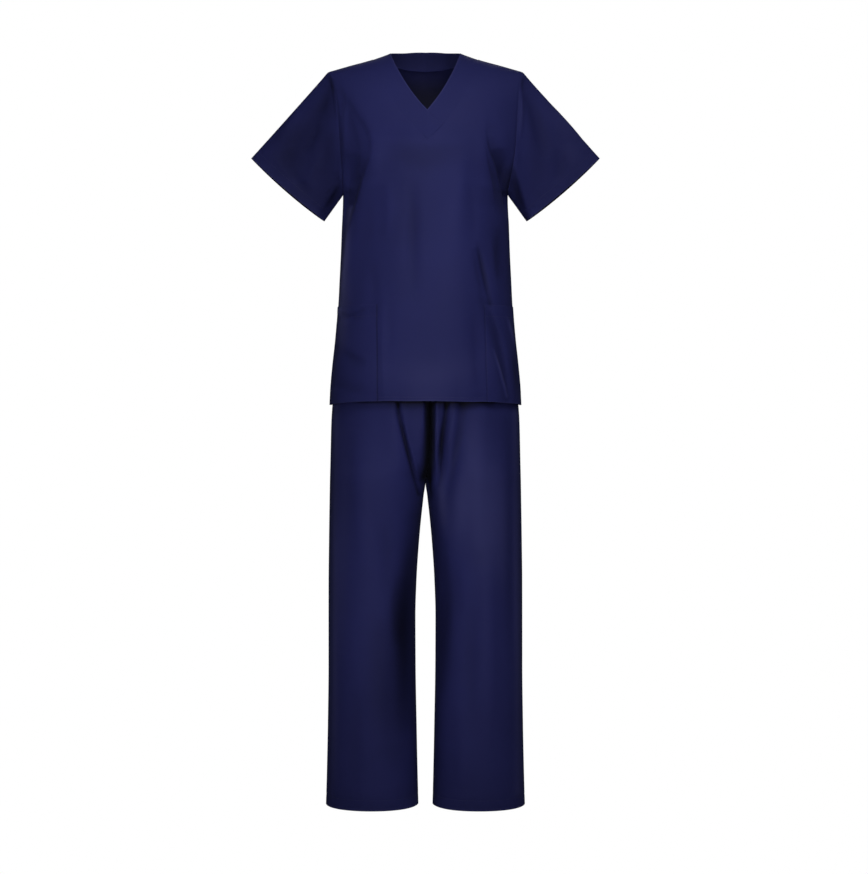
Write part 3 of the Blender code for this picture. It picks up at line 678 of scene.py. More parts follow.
def clothMaterial(name):
    material, tree, shader = newMaterial(name + "Cloth")
    shader["Roughness"].default_value = cloth["rough"]
    shader["Specular IOR Level"].default_value = cloth["gloss"]
    shader["Sheen Weight"].default_value = cloth["sheen"]
    shader["Sheen Roughness"].default_value = cloth["sheenRough"]
    shader["Sheen Tint"].default_value = opaque(cloth["sheenTint"])
    uv = newNode(tree, "ShaderNodeUVMap", uv_map="cloth").outputs["UV"]
    where = newNode(tree, "ShaderNodeTexCoord").outputs["Object"]

    def noise(scale, detail):
        inputs = {"Scale": scale, "Detail": detail, "Vector": where}
        return newNode(tree, "ShaderNodeTexNoise", inputs).outputs["Fac"]

    def mixed(first, second, fac):
        inputs = {"A": first, "B": second, "Factor": fac}
        return newNode(tree, "ShaderNodeMix", inputs, data_type="RGBA").outputs["Result"]

    def marked(label):
        return newNode(tree, "ShaderNodeAttribute", attribute_name=label).outputs["Fac"]

    def bump(height, strength, depth, below=None):
        inputs = {"Strength": strength, "Distance": depth, "Height": height}
        if below:
            inputs["Normal"] = below
        return newNode(tree, "ShaderNodeBump", inputs).outputs["Normal"]

    low, high = cloth["patchRange"]
    inputs = {"Value": noise(*cloth["patchSize"]), "From Min": low, "From Max": high}
    patches = newNode(tree, "ShaderNodeMapRange", inputs).outputs["Result"]
    colour = mixed(*[opaque(cloth["navy"], share) for share in cloth["patches"]], patches)
    # Colours painted over the navy: wear with painted highlights, painted shade inside the garment, and
    # painted shade in creases, in the cleft between the legs and under the hem of the top.
    for mark in ("wearAndHighlight", "paintedInsideShade", "shade"):
        colour = mixed(colour, opaque(cloth[mark]), marked(mark))
    tree.links.new(colour, shader["Base Color"])
    scale = 0.5 / cloth["threadPitch"] / math.pi
    inputs = {"Vector": uv, "Scale": scale, "Distortion": 0.6, "Detail": 1.0, "Detail Scale": 0.6}
    waves = []
    for direction in ("X", "Y"):
        waves.append(newNode(tree, "ShaderNodeTexWave", inputs, bands_direction=direction).outputs["Fac"])
    weave = newNode(tree, "ShaderNodeMath", enumerate(waves), operation="MULTIPLY").outputs["Value"]
    fine = bump(weave, *cloth["weave"])
    tree.links.new(bump(noise(*cloth["slackSize"]), *cloth["slack"], fine), shader["Normal"])
    return material


def plainMaterial(name, colour, rough):
    material, tree, shader = newMaterial(name)
    shader["Roughness"].default_value = rough
    where = newNode(tree, "ShaderNodeTexCoord").outputs["Object"]
    grain = newNode(tree, "ShaderNodeTexNoise", {"Scale": 40.0, "Vector": where}).outputs["Fac"]
    inputs = {"A": opaque(colour, 0.95), "B": opaque(colour), "Factor": grain}
    paintedShade = newNode(tree, "ShaderNodeMix", inputs, data_type="RGBA").outputs["Result"]
    tree.links.new(paintedShade, shader["Base Color"])
    return material


stitch = {"pitch": 3.0, "length": 0.0023, "width": 0.00042, "uneven": (0.86, 1.08), "rough": 0.6, "seed": 3}
stitchLines = []  # each: places of the stitches, their directions and the cloth's directions


# Stitches at even steps along the line that lies at a distance from an edge.
def sewAlong(outer, normals, distances, wanted, axis=0, closed=False):
    line, up = lineAt(outer, distances, wanted, axis), lineAt(normals, distances, wanted, axis)
    if closed:
        line, up = np.concatenate([line, line[:1]]), np.concatenate([up, up[:1]])
    far = np.concatenate([[0], np.cumsum(np.linalg.norm(np.diff(line, axis=0), axis=1))])
    count = max(int(far[-1] / stitch["pitch"]), 1)
    at = (np.arange(count) + 0.5) * far[-1] / count

    def along(values, shift=0.0):
        return np.stack([np.interp(at + shift, far, values[:, i]) for i in range(3)], -1)

    stitchLines.append((along(line), unit(along(line, 0.5) - along(line, -0.5)), unit(along(up))))


def lineAt(grid, distances, wanted, axis):
    moved = np.moveaxis(distances, axis, 0)
    source = np.moveaxis(grid, axis, 0)
    out = []
    for i in range(moved.shape[1]):
        order = np.argsort(moved[:, i])
        out.append([np.interp(wanted, moved[order, i], source[order, i, k]) for k in range(3)])
    return np.array(out)


# A piece whose hem is turned up and sewn.
def hemmedCloth(node, piece, spec, outer, normals, far, wearAndHighlight, shade, sewn, closed=False, innerShade=1.0):
    thick = hemThickness(far["bottom"], spec["hem"])
    obj = makeCloth(piece, outer, normals, thick, wearAndHighlight, shade, sewn, closed, innerShade)
    sewAlong(outer, normals, far["bottom"], spec["hem"], closed=closed)
    finishCloth(node, obj)


# A crease: its points x and z, its widths on the left and right of its direction, its depth, which is
# positive for a trough, the shares of the depth that are left at its start and end, and how much painted
# shade it puts on the cloth in it, or painted highlight where that is negative.
topFrontCreases = [
    (((-96, -215), (-51, -225), (10, -228), (61, -225), (100, -212)), (14.3, 24.6), 2.7, (0.3, 0.3), 0.12),
    (((-59, -239), (-2, -252), (50, -239)), (16.4, 18.4), 1.8, (0.2, 0.2), 0.08),
    (((-52, -155), (10, -164), (75, -149)), (49.2, 41.0), 0.0, (0.6, 0.6), -0.12),
    (((-51, -198), (-35, -315), (-27, -450)), (53.3, 49.2), 0.0, (0.4, 0.2), 0.14),
    (((-92, -674), (30, -679), (146, -644)), (36.9, 26.6), 0.0, (0.5, 0.5), -0.24),
    (((-173, -352), (-178, -501), (-189, -625), (-195, -727)), (8.2, 8.2), 0.0, (0.4, 0.5), -0.5),
    (((50, -304), (55, -446), (50, -609)), (32.8, 24.6), 0.0, (0.2, 0.3), -0.08),
    (((-194, -51), (-165, -89), (-135, -136), (-109, -184), (-105, -228),
      (-121, -276), (-136, -324), (-151, -375), (-164, -428), (-173, -485)),
     (20.5, 9.2), -4.5, (0.2, 0.1), 0),
    (((-178, -100), (-158, -159), (-145, -220), (-151, -289), (-164, -345)),
     (10.2, 16.4), 2.7, (0.3, 0.2), 0.0),
    (((-130, -263), (-138, -291), (-147, -316), (-158, -346), (-167, -382)),
     (6.1, 10.2), 3.3, (0.1, 0.2), 0.14),
    (((-159, -334), (-161, -395), (-167, -448), (-173, -489), (-179, -546)),
     (7.4, 6.1), -1.8, (0.9, 0.6), -1.7),
    (((-169, -444), (-171, -502), (-173, -568), (-175, -638)), (14.3, 8.2), 0.0, (0.3, 0.2), -1.1),
    (((-163, -98), (-169, -170), (-164, -244)), (6.1, 6.1), -2.4, (0.1, 0.1), -0.04),
    (((-47, -268), (-45, -385), (-41, -521)), (10.2, 28.7), -2.4, (0.1, 0.1), 0),
    (((-25, -280), (-25, -395), (-25, -522)), (12.3, 12.3), 2.4, (0.1, 0.1), 0.12),
    (((77, -222), (71, -304), (63, -397)), (16.4, 18.4), -3.3, (0.3, 0.1), -0.04),
    (((-76, -283), (-74, -340), (-80, -396)), (12.3, 12.3), -2.7, (0.1, 0.1), -0.04),
    (((-113, -313), (-120, -366), (-122, -423)), (10.2, 12.3), 1.2, (0.1, 0.1), 0.05),
    (((42, -405), (38, -528), (44, -650)), (20.5, 24.6), -2.1, (0.1, 0.1), 0),
    (((-113, -448), (-105, -510), (-109, -579)), (12.3, 12.3), 2.1, (0.1, 0.1), 0.06),
    (((91, -278), (100, -351), (94, -416)), (10.2, 12.3), 2.1, (0.1, 0.1), 0.06),
    (((-76, -527), (-74, -588), (-80, -674)), (10.2, 12.3), 1.5, (0.1, 0.1), 0.05),
    (((116, -194), (122, -241), (133, -289), (141, -329)), (6.1, 18.4), -3.9, (0.3, 0.1), 0),
    (((129, -180), (137, -217), (151, -246), (158, -270), (165, -296), (169, -324)),
     (18.4, 4.1), 6.3, (0.3, 0.5), 0.36),
    (((158, -243), (165, -279), (169, -313)), (14.3, 6.1), 1.8, (0.2, 0.6), 0.24),
    (((180, -234), (179, -268), (178, -318)), (7.0, 8.2), 2.2, (0.2, 0.5), 0.55),
    (((108, -415), (120, -474), (135, -533)), (5.7, 4.1), 3.9, (0.2, 0.7), 0.55),
    (((137, -401), (141, -450), (148, -508)), (6.1, 6.1), -1.2, (0.1, 0.1), 0),
    (((154, -371), (154, -425), (158, -490)), (11.3, 12.3), 3.9, (0.1, 0.2), 0.28),
    (((183, -375), (184, -429), (183, -500)), (4.5, 4.5), -2.4, (0.1, 0.1), -0.08),
    (((125, -529), (137, -562), (152, -606), (164, -664), (171, -730)), (6.6, 14.3), 5.7, (0.5, 0.5), 0.3),
    (((142, -628), (156, -672), (170, -724)), (2.7, 2.7), -2.7, (0.2, 0.6), -0.9),
    (((169, -560), (177, -588), (185, -617)), (3.1, 3.1), -2.4, (0.2, 0.3), -0.8),
    (((185, -629), (189, -671), (195, -721)), (6.1, 6.1), 2.4, (0.2, 0.2), 0.22),
    (((-182, -554), (-151, -559), (-118, -544)), (6.1, 12.3), 3.6, (0.3, 0.3), 0.14),
    (((-187, -629), (-156, -646), (-122, -663)), (12.3, 16.4), 4.2, (0.4, 0.2), 0.14),
    (((-197, -696), (-155, -710), (-111, -715)), (12.3, 12.3), 3.0, (0.3, 0.2), 0.08),
    (((-191, -583), (-193, -650), (-199, -721)), (8.2, 8.2), 1.5, (0.3, 0.3), 0.12),
    (((-59, -723), (6, -727), (75, -723)), (45.1, 16.4), -6.0, (0.3, 0.3), -0.18),
    (((-84, -527), (-86, -629), (-82, -729)), (10.2, 8.2), -2.1, (0.3, 0.5), -0.03),
    (((100, -547), (106, -629), (112, -727)), (16.4, 12.3), 3.0, (0.1, 0.4), 0.08),
]
topFront = {
    "columns": 192,
    "rows": 220,
    "flat": (0.52, 0.74),
    "area": 0.325,
    "hem": 8.0,
    "hemGroove": 0.25,
    "sideSeams": (0.8, 3.0),  # height of the rise beside a seam, and how soon it comes
    "topSeam": (0.12, 3.5),
    "creaseFade": 25.0,  # beside a seam
    "plainTop": (75.0, 30.0),  # depth that takes its directions from the form, and the blend after it
    "paleEdge": (0.55, 2.0),  # how pale, and how wide
    "paleHem": (0.04, 1.5),
    "paleHemAt": 6.5,
    "paleSeam": (0.05, 2.5),
    "creases": topFrontCreases,
}


# Pale lines along the hem: painted highlight on the folded edge and the hem's stitch line, with some wear.
def topPaleEdges(spec, far):
    edge = ridge(far["bottom"], *spec["paleEdge"])
    return edge + ridge(far["bottom"] - spec["paleHemAt"], *spec["paleHem"])


def topFrontMake():
    u, v = gridSteps(topFront["columns"], topFront["rows"], down=(0, lastRow[front]))
    place = frontPlace(u, v)
    grid, plain = torsoPoint(place), torsoNormal(place)
    far = edgeDistances(grid)
    begin, blend = topFront["plainTop"]
    away = smooth((far["top"] - begin) / blend)[..., None]
    normals = unit(mix(plain, gridNormals(grid), away))
    inset, shade = creaseField(topFront["creases"], grid)
    side = np.minimum(far["first"], far["last"])
    lift = -inset * (smooth(side / topFront["creaseFade"]) * smooth(far["top"] / topFront["creaseFade"]))
    lift += seamPillow(side, *topFront["sideSeams"]) + seamPillow(far["top"], *topFront["topSeam"])
    lift += groove(far["bottom"] - topFront["hem"], topFront["hemGroove"])
    outer = grid + normals * lift[..., None]
    normals = unit(mix(plain, gridNormals(outer), away))
    wearAndHighlight = topPaleEdges(topFront, far) + ridge(far["top"], *topFront["paleSeam"])
    hemmedCloth("top_front", "topFront", topFront, outer, normals, far, wearAndHighlight, shade, ("top", "first", "last"))


topFrontMake()

topBackCreases = [
    (((-168, -110), (-150, -170), (-142, -240), (-156, -330)), (20, 14), 7.2, (0.2, 0.1), 0.38),
    (((164, -120), (150, -180), (146, -250), (160, -340)), (14, 20), 7.8, (0.2, 0.1), 0.4),
    (((-96, -150), (-40, -172), (30, -176), (92, -156)), (10, 26), 3.1, (0.2, 0.2), 0.16),
    (((-60, -300), (-70, -420), (-58, -560)), (18, 14), -3.1, (0.1, 0.1), 0.0),
    (((-20, -260), (-14, -400), (-26, -620)), (16, 22), 3.4, (0.1, 0.1), 0.17),
    (((40, -320), (52, -470), (44, -700)), (20, 16), -3.4, (0.1, 0.6), 0.0),
    (((96, -430), (88, -560), (104, -738)), (12, 18), 4.3, (0.1, 0.7), 0.23),
    (((-104, -460), (-118, -600), (-110, -738)), (16, 12), 3.8, (0.1, 0.7), 0.2),
    (((136, -380), (128, -470), (142, -560)), (9, 12), -3.6, (0.1, 0.1), 0.0),
    (((-134, -360), (-128, -450), (-140, -520)), (10, 9), -3.1, (0.1, 0.1), 0.0),
]
topBack = {
    "columns": 140,
    "rows": 190,
    "flat": (0.50, 0.78),
    "area": 0.328,
    "hem": 8.0,
    "hemGroove": 0.25,
    "seams": (0.8, 3.0),
    "creaseFade": 25.0,
    "paleEdge": (0.55, 2.0),
    "paleHem": (0.04, 1.5),
    "paleHemAt": 6.5,
    "paleInside": (0.60, 36.0),  # how much less painted shade the inside has at the neck, where light comes in, and how far down
    "creases": topBackCreases,
}


def topBackMake():
    u, v = gridSteps(topBack["columns"], topBack["rows"], down=(0, lastRow[back]))
    grid = torsoPoint(backPlace(1 - u, v))
    normals, far = gridNormals(grid), edgeDistances(grid)
    inset, shade = creaseField(topBack["creases"], grid)
    side = np.minimum(far["first"], far["last"])
    lift = -inset * (smooth(side / topBack["creaseFade"]) * smooth(far["top"] / topBack["creaseFade"]))
    lift += seamPillow(np.minimum(side, far["top"]), *topBack["seams"])
    lift += groove(far["bottom"] - topBack["hem"], topBack["hemGroove"])
    outer = grid + normals * lift[..., None]
    normals = gridNormals(outer)
    # Painted shade on the inside of the back, with less of it near the neck where light comes in.
    wearAndHighlight, innerShade = topPaleEdges(topBack, far), 1 - ridge(far["top"], *topBack["paleInside"])
    sewn = ("top", "first", "last")
    hemmedCloth("top_back", "topBack", topBack, outer, normals, far, wearAndHighlight, shade, sewn, innerShade=innerShade)


topBackMake()

# The neck band goes from its lower end, at the left of the V, round to the lapped end. Its stretches are
# the left front, a corner, the left and right back, a corner, the right front and the lap.
bandStops = np.cumsum([neckColumns, 1, backNeckColumns, backNeckColumns, 1, neckColumns, 2])
neckband = {
    "columns": 304,
    "rows": 16,
    "flat": (0.78, 0.042),
    "layers": 2 * wall + 0.3,
    "seam": (0.12, 3.5),
    "roll": (0.4, 3.0),  # of the folded edge, its height and width
    "lapRise": 1.0,
    "lapRiseAt": (34.5, 1.5),  # column where the rise starts, and over how many
    "lapTip": 0.22,
    "lapRoot": 0.02,
    "paintedInsideShade": 0.0,  # how much painted shade its inner side has, and how much painted highlight
    "insideHighlight": 0.35,
    "paleEdge": (0.8, 2.2),
    "paleEnd": (35.7, 0.6),
}


# u counts the solid's columns, and v runs from the neck edge, 0, to the outer seam, 1.
def bandPlace(u, v):
    leftEnd, backStart, middle, backEnd, rightStart, lapStart, lapEnd = bandStops

    def each(makeFront, makeBack):
        full, none = np.ones_like(u), np.zeros_like(u)
        places = [
            makeFront(left, np.clip(u / neckColumns, 0, 1)),
            blendPlaces(makeFront(left, full), makeBack(left, none), np.clip(u - leftEnd, 0, 1)),
            makeBack(left, np.clip((u - backStart) / backNeckColumns, 0, 1)),
            makeBack(right, np.clip((backEnd - u) / backNeckColumns, 0, 1)),
            blendPlaces(makeBack(right, none), makeFront(right, full), np.clip(u - backEnd, 0, 1)),
            makeFront(right, np.clip((lapStart - u) / neckColumns, 0, 1)),
        ]
        return choose([u <= leftEnd, u < backStart, u <= middle, u <= backEnd, u < rightStart], places)

    lap = np.clip((u - lapStart) / (lapEnd - lapStart), 0, 1)
    tip, root = [bandSeamFront(left, np.array(neckband[end])) for end in ("lapTip", "lapRoot")]
    inner = blendPlaces(each(neckEdgeFront, neckEdgeBack), tip, lap)
    outer = blendPlaces(each(bandSeamFront, bandSeamBack), root, lap)
    return blendPlaces(inner, outer, v)


def neckbandMake():
    u, v = gridSteps(neckband["columns"], neckband["rows"], across=(0, bandStops[-1]))
    place = bandPlace(u, v)
    grid, normals = torsoPoint(place), torsoNormal(place)
    far = edgeDistances(grid)
    start, long = neckband["lapRiseAt"]
    lift = neckband["lapRise"] * smooth((u - start) / long) + seamPillow(far["bottom"], *neckband["seam"])
    lift = lift + ridge(far["top"], *neckband["roll"])
    outer = grid + normals * lift[..., None]
    start, long = neckband["paleEnd"]
    # Pale line along the folded edge of the neck band: painted highlight with some wear, ending at the lap.
    wearAndHighlight = ridge(far["top"], *neckband["paleEdge"]) * (1 - smooth((u - start) / long))
    # The neck band's inner side has no painted inside shade and a painted highlight.
    paintedInsideShade, insideHighlight = neckband["paintedInsideShade"], neckband["insideHighlight"]
    obj = makeCloth("neckBand", outer, normals, neckband["layers"], wearAndHighlight, np.zeros_like(wearAndHighlight), ("bottom",),
                    innerShade=paintedInsideShade, insideHighlight=insideHighlight)
    finishCloth("neckband", obj)


neckbandMake()

sleeveForm = {
    "middle": (290.6, 22.0, -285.6),  # of the opening
    "half": (77.2, 0.0, 66.4),  # from there to its outer corner
    "thick": 31.0,
    "bow": 3.9,
    "settle": 1.7,
}
sleeveRightCreases = [
    (((-191, -68), (-217, -118), (-254, -168), (-283, -210), (-313, -231)),
     (30.7, 24.6), 8.0, (0.7, 0.1), 0.26),
    (((-200, -60), (-208, -94), (-225, -136)), (10.2, 12.3), 2.4, (0.3, 0.1), 0.24),
    (((-191, -165), (-195, -207), (-200, -244)), (10.2, 12.3), -1.3, (0.2, 0.2), 0.1),
    (((-175, -265), (-198, -294), (-221, -325), (-229, -338)), (8.2, 18.4), -4.2, (0.5, 0.5), 0),
    (((-173, -275), (-192, -305), (-211, -338)), (14.3, 8.2), 1.9, (0.5, 0.5), 0.4),
    (((-204, -134), (-213, -226), (-225, -302)), (28.7, 36.9), 0.0, (0.5, 0.6), 0.32),
    (((-177, -238), (-184, -271), (-201, -309), (-219, -338)), (10.2, 24.6), 0.8, (0.4, 0.7), 0.3),
    (((-217, -206), (-237, -248), (-256, -281)), (12.3, 12.3), -3.2, (0.1, 0.2), -0.04),
    (((-263, -117), (-284, -147), (-313, -184)), (8.2, 8.2), -2.9, (0.1, 0.1), 0),
    (((-280, -251), (-263, -277), (-242, -302)), (10.2, 10.2), 2.2, (0.1, 0.1), 0.06),
    (((-296, -180), (-286, -235), (-267, -289)), (36.9, 36.9), 1.0, (0.7, 0.7), 0.32),
    (((-225, -152), (-237, -185), (-258, -219)), (8.2, 10.2), 3.2, (0.1, 0.1), 0.1),
]
sleeveLeftCreases = [
    (((208, -69), (227, -127), (241, -182), (252, -228)), (18.4, 14.3), 7.4, (0.6, 0.1), 0.2),
    (((198, -79), (200, -129), (197, -183)), (4.9, 4.9), -2.9, (0.2, 0.2), -0.14),
    (((179, -233), (198, -273), (212, -321), (217, -342)), (16.4, 8.2), -4.2, (0.5, 0.5), 0),
    (((180, -250), (192, -288), (203, -322), (213, -345)), (6.1, 14.3), 1.9, (0.6, 0.6), 0.62),
    (((223, -159), (232, -226), (234, -293)), (20.5, 16.4), 0.0, (0.5, 0.5), 0.14),
    (((252, -101), (292, -147), (330, -189)), (18.4, 20.5), -3.8, (0.4, 0.3), -0.24),
    (((273, -205), (282, -243), (273, -277)), (14.3, 14.3), 3.5, (0.1, 0.1), 0.08),
    (((290, -189), (309, -218), (324, -243)), (20.5, 18.4), -2.6, (0.3, 0.4), -0.22),
]
sleeve = {
    "columns": 176,
    "rows": 72,
    "flat": (0.46, 0.21),
    "area": 0.078,
    "hem": 20.0,
    "hemGroove": 0.1,
    "seam": (0.35, 3.0),
    "seamFade": 14.0,  # over which creases start, and the armhole's directions end
    "frontOnly": 1.6,  # more brings the creases nearer the sides
    "paleEdge": (0.6, 1.6),
    "paleSeam": {right: (0.1, 2.2), left: (0.25, 2.2)},
    "creases": {right: sleeveRightCreases, left: sleeveLeftCreases},
}


# w counts steps down the front of the armhole from the shoulder seam, and up its back.
def armholePlace(hand, w):
    edge = 0.0 if hand == right else 1.0
    w = w % armholeSteps
    ahead = frontPlace(np.full_like(w, edge), np.minimum(w, yokeRows[front]))
    behind = backPlace(np.full_like(w, edge), np.clip(armholeSteps - w, 0, yokeRows[back]))
    return choose([w <= yokeRows[front]], [ahead, behind])


def sleeveOpening(hand, angle):
    middle, half = np.array(sleeveForm["middle"]), np.array(sleeveForm["half"])
    downArm = np.array([half[2], 0.0, -half[0]]) / np.linalg.norm(half)
    cosine, sine = np.cos(angle)[..., None], np.sin(angle)[..., None]
    point = middle + half * cosine + downArm * sleeveForm["bow"] * sine**2
    point = point - np.array([0.0, sleeveForm["thick"], 0.0]) * sine
    return point * np.array([hand, 1.0, 1.0])


# The angle round the sleeve's opening that each step of the armhole leads to.
def openingAngles(hand, w):
    whole = np.arange(armholeSteps + 1).astype(float)
    stops = torsoPoint(armholePlace(hand, np.minimum(whole, armholeSteps - 1e-4)))
    steps = np.concatenate([[0], np.cumsum(np.linalg.norm(np.diff(stops, axis=0), axis=1))])
    end, ridgeStop, underarm = steps[-1], steps[armholeSteps - ridgeRow], steps[yokeRows[front]]
    start = (end - ridgeStop) / (end - ridgeStop + underarm) * math.pi
    turns = [start, math.pi, 2 * math.pi, 2 * math.pi + start]
    return np.interp(w, whole, np.interp(steps, [0, underarm, ridgeStop, end], turns))


def sleeveMake(hand, name):
    w = np.linspace(0, armholeSteps, sleeve["columns"], endpoint=False)
    w = -w % armholeSteps if hand == left else w
    place = armholePlace(hand, w)
    begin, panel = torsoPoint(place), torsoNormal(place)
    end = sleeveOpening(hand, openingAngles(hand, w))
    v = np.linspace(0, 1, sleeve["rows"] + 1)[:, None, None]
    grid = mix(begin[None], end[None], v)
    grid[..., 1] = mix(begin[None, :, 1], end[None, :, 1], 1 - (1 - v[..., 0]) ** sleeveForm["settle"])
    own, far = gridNormals(grid, True), edgeDistances(grid, True)
    falls = (np.sum((end - begin) * panel, axis=-1) < 0)[None, :, None]
    away = smooth(far["top"] / sleeve["seamFade"])
    normals = unit(mix(np.where(falls, panel[None], own), own, away[..., None]))
    ahead = smooth(-own[..., 1] * sleeve["frontOnly"])
    inset, shade = [part * ahead for part in creaseField(sleeve["creases"][hand], grid)]
    lift = -inset * away + seamPillow(far["top"], *sleeve["seam"])
    lift += groove(far["bottom"] - sleeve["hem"], sleeve["hemGroove"])
    outer = grid + normals * lift[..., None]
    # Pale lines at the sleeve's hem edge and armhole seam: painted highlight with some wear.
    wearAndHighlight = ridge(far["bottom"], *sleeve["paleEdge"]) + ridge(far["top"], *sleeve["paleSeam"][hand])
    node, piece = "sleeve_" + name.lower(), "sleeve" + name
    hemmedCloth(node, piece, sleeve, outer, normals, far, wearAndHighlight, shade, ("top",), closed=True)


for hand, name in hands:
    sleeveMake(hand, name)

pocket = {
    "columns": 48,
    "rows": 96,
    "flat": {right: (0.167, 0.205), left: (0.137, 0.205)},
    "hem": 24.0,
    "hemMore": 0.8,
    "hemGroove": 0.05,
    "lift": 0.25,
    "clear": 0.05,  # of the front, at least
    "gape": 2.5,
    "gapeFade": 3,
    "edge": (0.35, 3.0),
    "sewnIn": 2.5,
    "creaseFade": 25.0,
    "seamShade": {right: (0.55, 1.8), left: (0.15, 1.8)},
    "paleMouth": (0.25, 1.6),
    "paleFoot": (0.4, 1.6),
}


def pocketMake(hand, name):
    share, down = gridSteps(pocket["columns"], pocket["rows"])
    u = share * panelStops[1] if hand == right else panelStops[3] + share * panelStops[1]
    grid = torsoPoint(frontPlace(u, mouthRow + pocketRows * down))
    normals, far = gridNormals(grid), edgeDistances(grid)
    inner, outerEdge = [far[end] for end in (("last", "first") if hand == right else ("first", "last"))]
    inset, shade = creaseField(topFront["creases"], grid)
    shade = shade + ridge(inner, *pocket["seamShade"][hand])
    high, wide = pocket["edge"]
    gape = pocket["gape"] * np.sin(np.pi * share) * (1 - down) ** pocket["gapeFade"]
    lift = pocket["lift"] + wall + gape + high * (1 - ridge(inner, 1, wide))
    lift += groove(far["top"] - pocket["hem"], pocket["hemGroove"])
    outer = grid + normals * (lift - inset * smooth(outerEdge / pocket["creaseFade"]))[..., None]
    thick = hemThickness(far["top"], pocket["hem"], pocket["hemMore"])
    thick = np.minimum(thick, lift - pocket["clear"])
    # Pale lines at the pocket's mouth and foot: painted highlight with some wear.
    wearAndHighlight = ridge(far["top"], *pocket["paleMouth"]) + ridge(far["bottom"], *pocket["paleFoot"])
    obj = makeCloth("pocket" + name, outer, normals, thick, wearAndHighlight, shade)
    normals = gridNormals(outer)
    sewAlong(outer, normals, far["top"], pocket["hem"])
    sewAlong(outer, normals, inner, pocket["sewnIn"], axis=1)
    finishCloth("pocket_" + name.lower(), obj)


for hand, name in hands:
    pocketMake(hand, name)

trouserForm = {
    "hem": -1576.5, "hemDip": 4.5, "hemReach": 100.0, "sideY": 6.0, "inseamY": 10.0, "corner": 2.15,
    "cleftFlare": 2.4,
    "waist": -615.0, "waistbandDeep": 40.0,
}
trouserNames = ("outer", "inner", "front", "back", "cleftFront", "cleftBack", "cleftWide", "centre", "leg")
trousers = curves(trouserNames, [  # by height
    (-615, 150.0, -0.25, -116, 104, 0, 0, 7.2, 4, 0.00),
    (-655, 170.0, -0.25, -121, 111, 4, 4, 7.2, 7, 0.00),
    (-695, 186.0, -0.25, -124, 116, 22, 14, 7.2, 9.4, 0.00),
    (-737, 194.5, -0.25, -125, 118, 58, 30, 7.2, 9.6, 0.00),
    (-780, 197.2, -0.25, -124, 119, 80, 50, 7.2, 9.6, 0.08),
    (-820, 198.2, -0.25, -121, 118, 94, 70, 7.8, 8.8, 0.28),
    (-860, 199.0, -0.25, -117, 117, 104, 88, 9, 6.6, 0.62),
    (-900.5, 200.0, -0.15, -113, 115, 112, 100, 14, 0, 1.00),
    (-930, 200.5, 4.1, -110, 113, 112, 100, 14, 0, 1.00),
    (-981, 201.3, 9.9, -105, 109, 112, 100, 14, 0, 1.00),
    (-1031, 202.0, 14.4, -101, 105, 112, 100, 14, 0, 1.00),
    (-1107, 202.8, 19.3, -95, 100, 112, 100, 14, 0, 1.00),
    (-1183, 202.9, 21.6, -90, 96, 112, 100, 14, 0, 1.00),
    (-1283, 202.9, 21.2, -84, 91, 112, 100, 14, 0, 1.00),
    (-1409, 204.4, 19.1, -77, 86, 112, 100, 14, 0, 1.00),
    (-1510, 206.5, 17.0, -71, 81, 112, 100, 14, 0, 1.00),
    (-1576.5, 208.4, 15.3, -67, 78, 112, 100, 14, 0, 1.00),
])
trouserFolds = {  # as those of the top
    front: [
        (-58, -735, -14, -923, 10, 9),
        (46, -735, 25, -921, 10, 9),
        (93, -750, 20, -1001, 17, 5),
        (-150, -760, -120, -1100, 26, -4),
        (128, -980, 112, -1420, 24, -4),
    ],
    back: [
        (-62, -790, -18, -930, 13, 8),
        (60, -800, 20, -935, 13, 8),
        (-110, -900, -96, -1250, 24, 5),
        (118, -940, 104, -1330, 24, 5),
    ],
}
trouserFrontRightCreases = [
    (((-58, -727), (-54, -762), (-47, -792), (-33, -847), (-23, -886), (-12, -927)),
     (4.5, 3.3), 4.8, (1, 0.6), 0.8),
    (((-48, -738), (-43, -772), (-37, -803), (-25, -849), (-13, -894)), (4.5, 4.9), -2.6, (0.8, 0.1), -0.1),
    (((-15, -736), (-11, -813), (-7, -894)), (8.2, 8.2), -1.9, (0.5, 0.1), -0.05),
    (((-72, -731), (-66, -813), (-50, -886)), (10.2, 14.3), -1.9, (0.7, 0.1), 0),
    (((-124, -741), (-126, -875), (-120, -1019), (-123, -1123)), (26.6, 26.6), -3.6, (0.6, 0.1), 0),
    (((-171, -792), (-169, -938), (-172, -1094), (-174, -1272)), (14.3, 10.2), 1.2, (0.3, 0.2), -0.26),
    (((-187, -746), (-188, -938), (-189, -1189), (-190, -1546)), (8.2, 8.2), -1.0, (0.8, 0.1), -0.7),
    (((-13, -981), (-27, -1051), (-38, -1142), (-42, -1235), (-42, -1328), (-38, -1436)),
     (22.5, 22.5), 3.6, (0.3, 0.1), 0.76),
    (((-77, -1167), (-87, -1246), (-85, -1350), (-77, -1453)), (28.7, 30.7), 1.0, (0.2, 0.3), 0.3),
    (((-54, -1088), (-62, -1154), (-60, -1245)), (16.4, 10.2), 0.5, (0.1, 0.1), 0.26),
    (((-85, -1225), (-94, -1350), (-98, -1496)), (20.5, 20.5), -2.6, (0.1, 0.3), 0),
    (((-144, -1332), (-148, -1436), (-153, -1562)), (18.4, 18.4), 2.9, (0.1, 0.6), 0.1),
    (((-179, -1566), (-104, -1584), (-32, -1561)), (28.7, 20.5), 0.6, (0.8, 0.8), 0.15),
    (((-85, -977), (-77, -1059), (-81, -1142)), (16.4, 14.3), 1.9, (0.1, 0.1), 0.12),
    (((-56, -1349), (-54, -1432), (-57, -1526)), (24.6, 24.6), 0.0, (0.4, 0.3), 0.14),
]
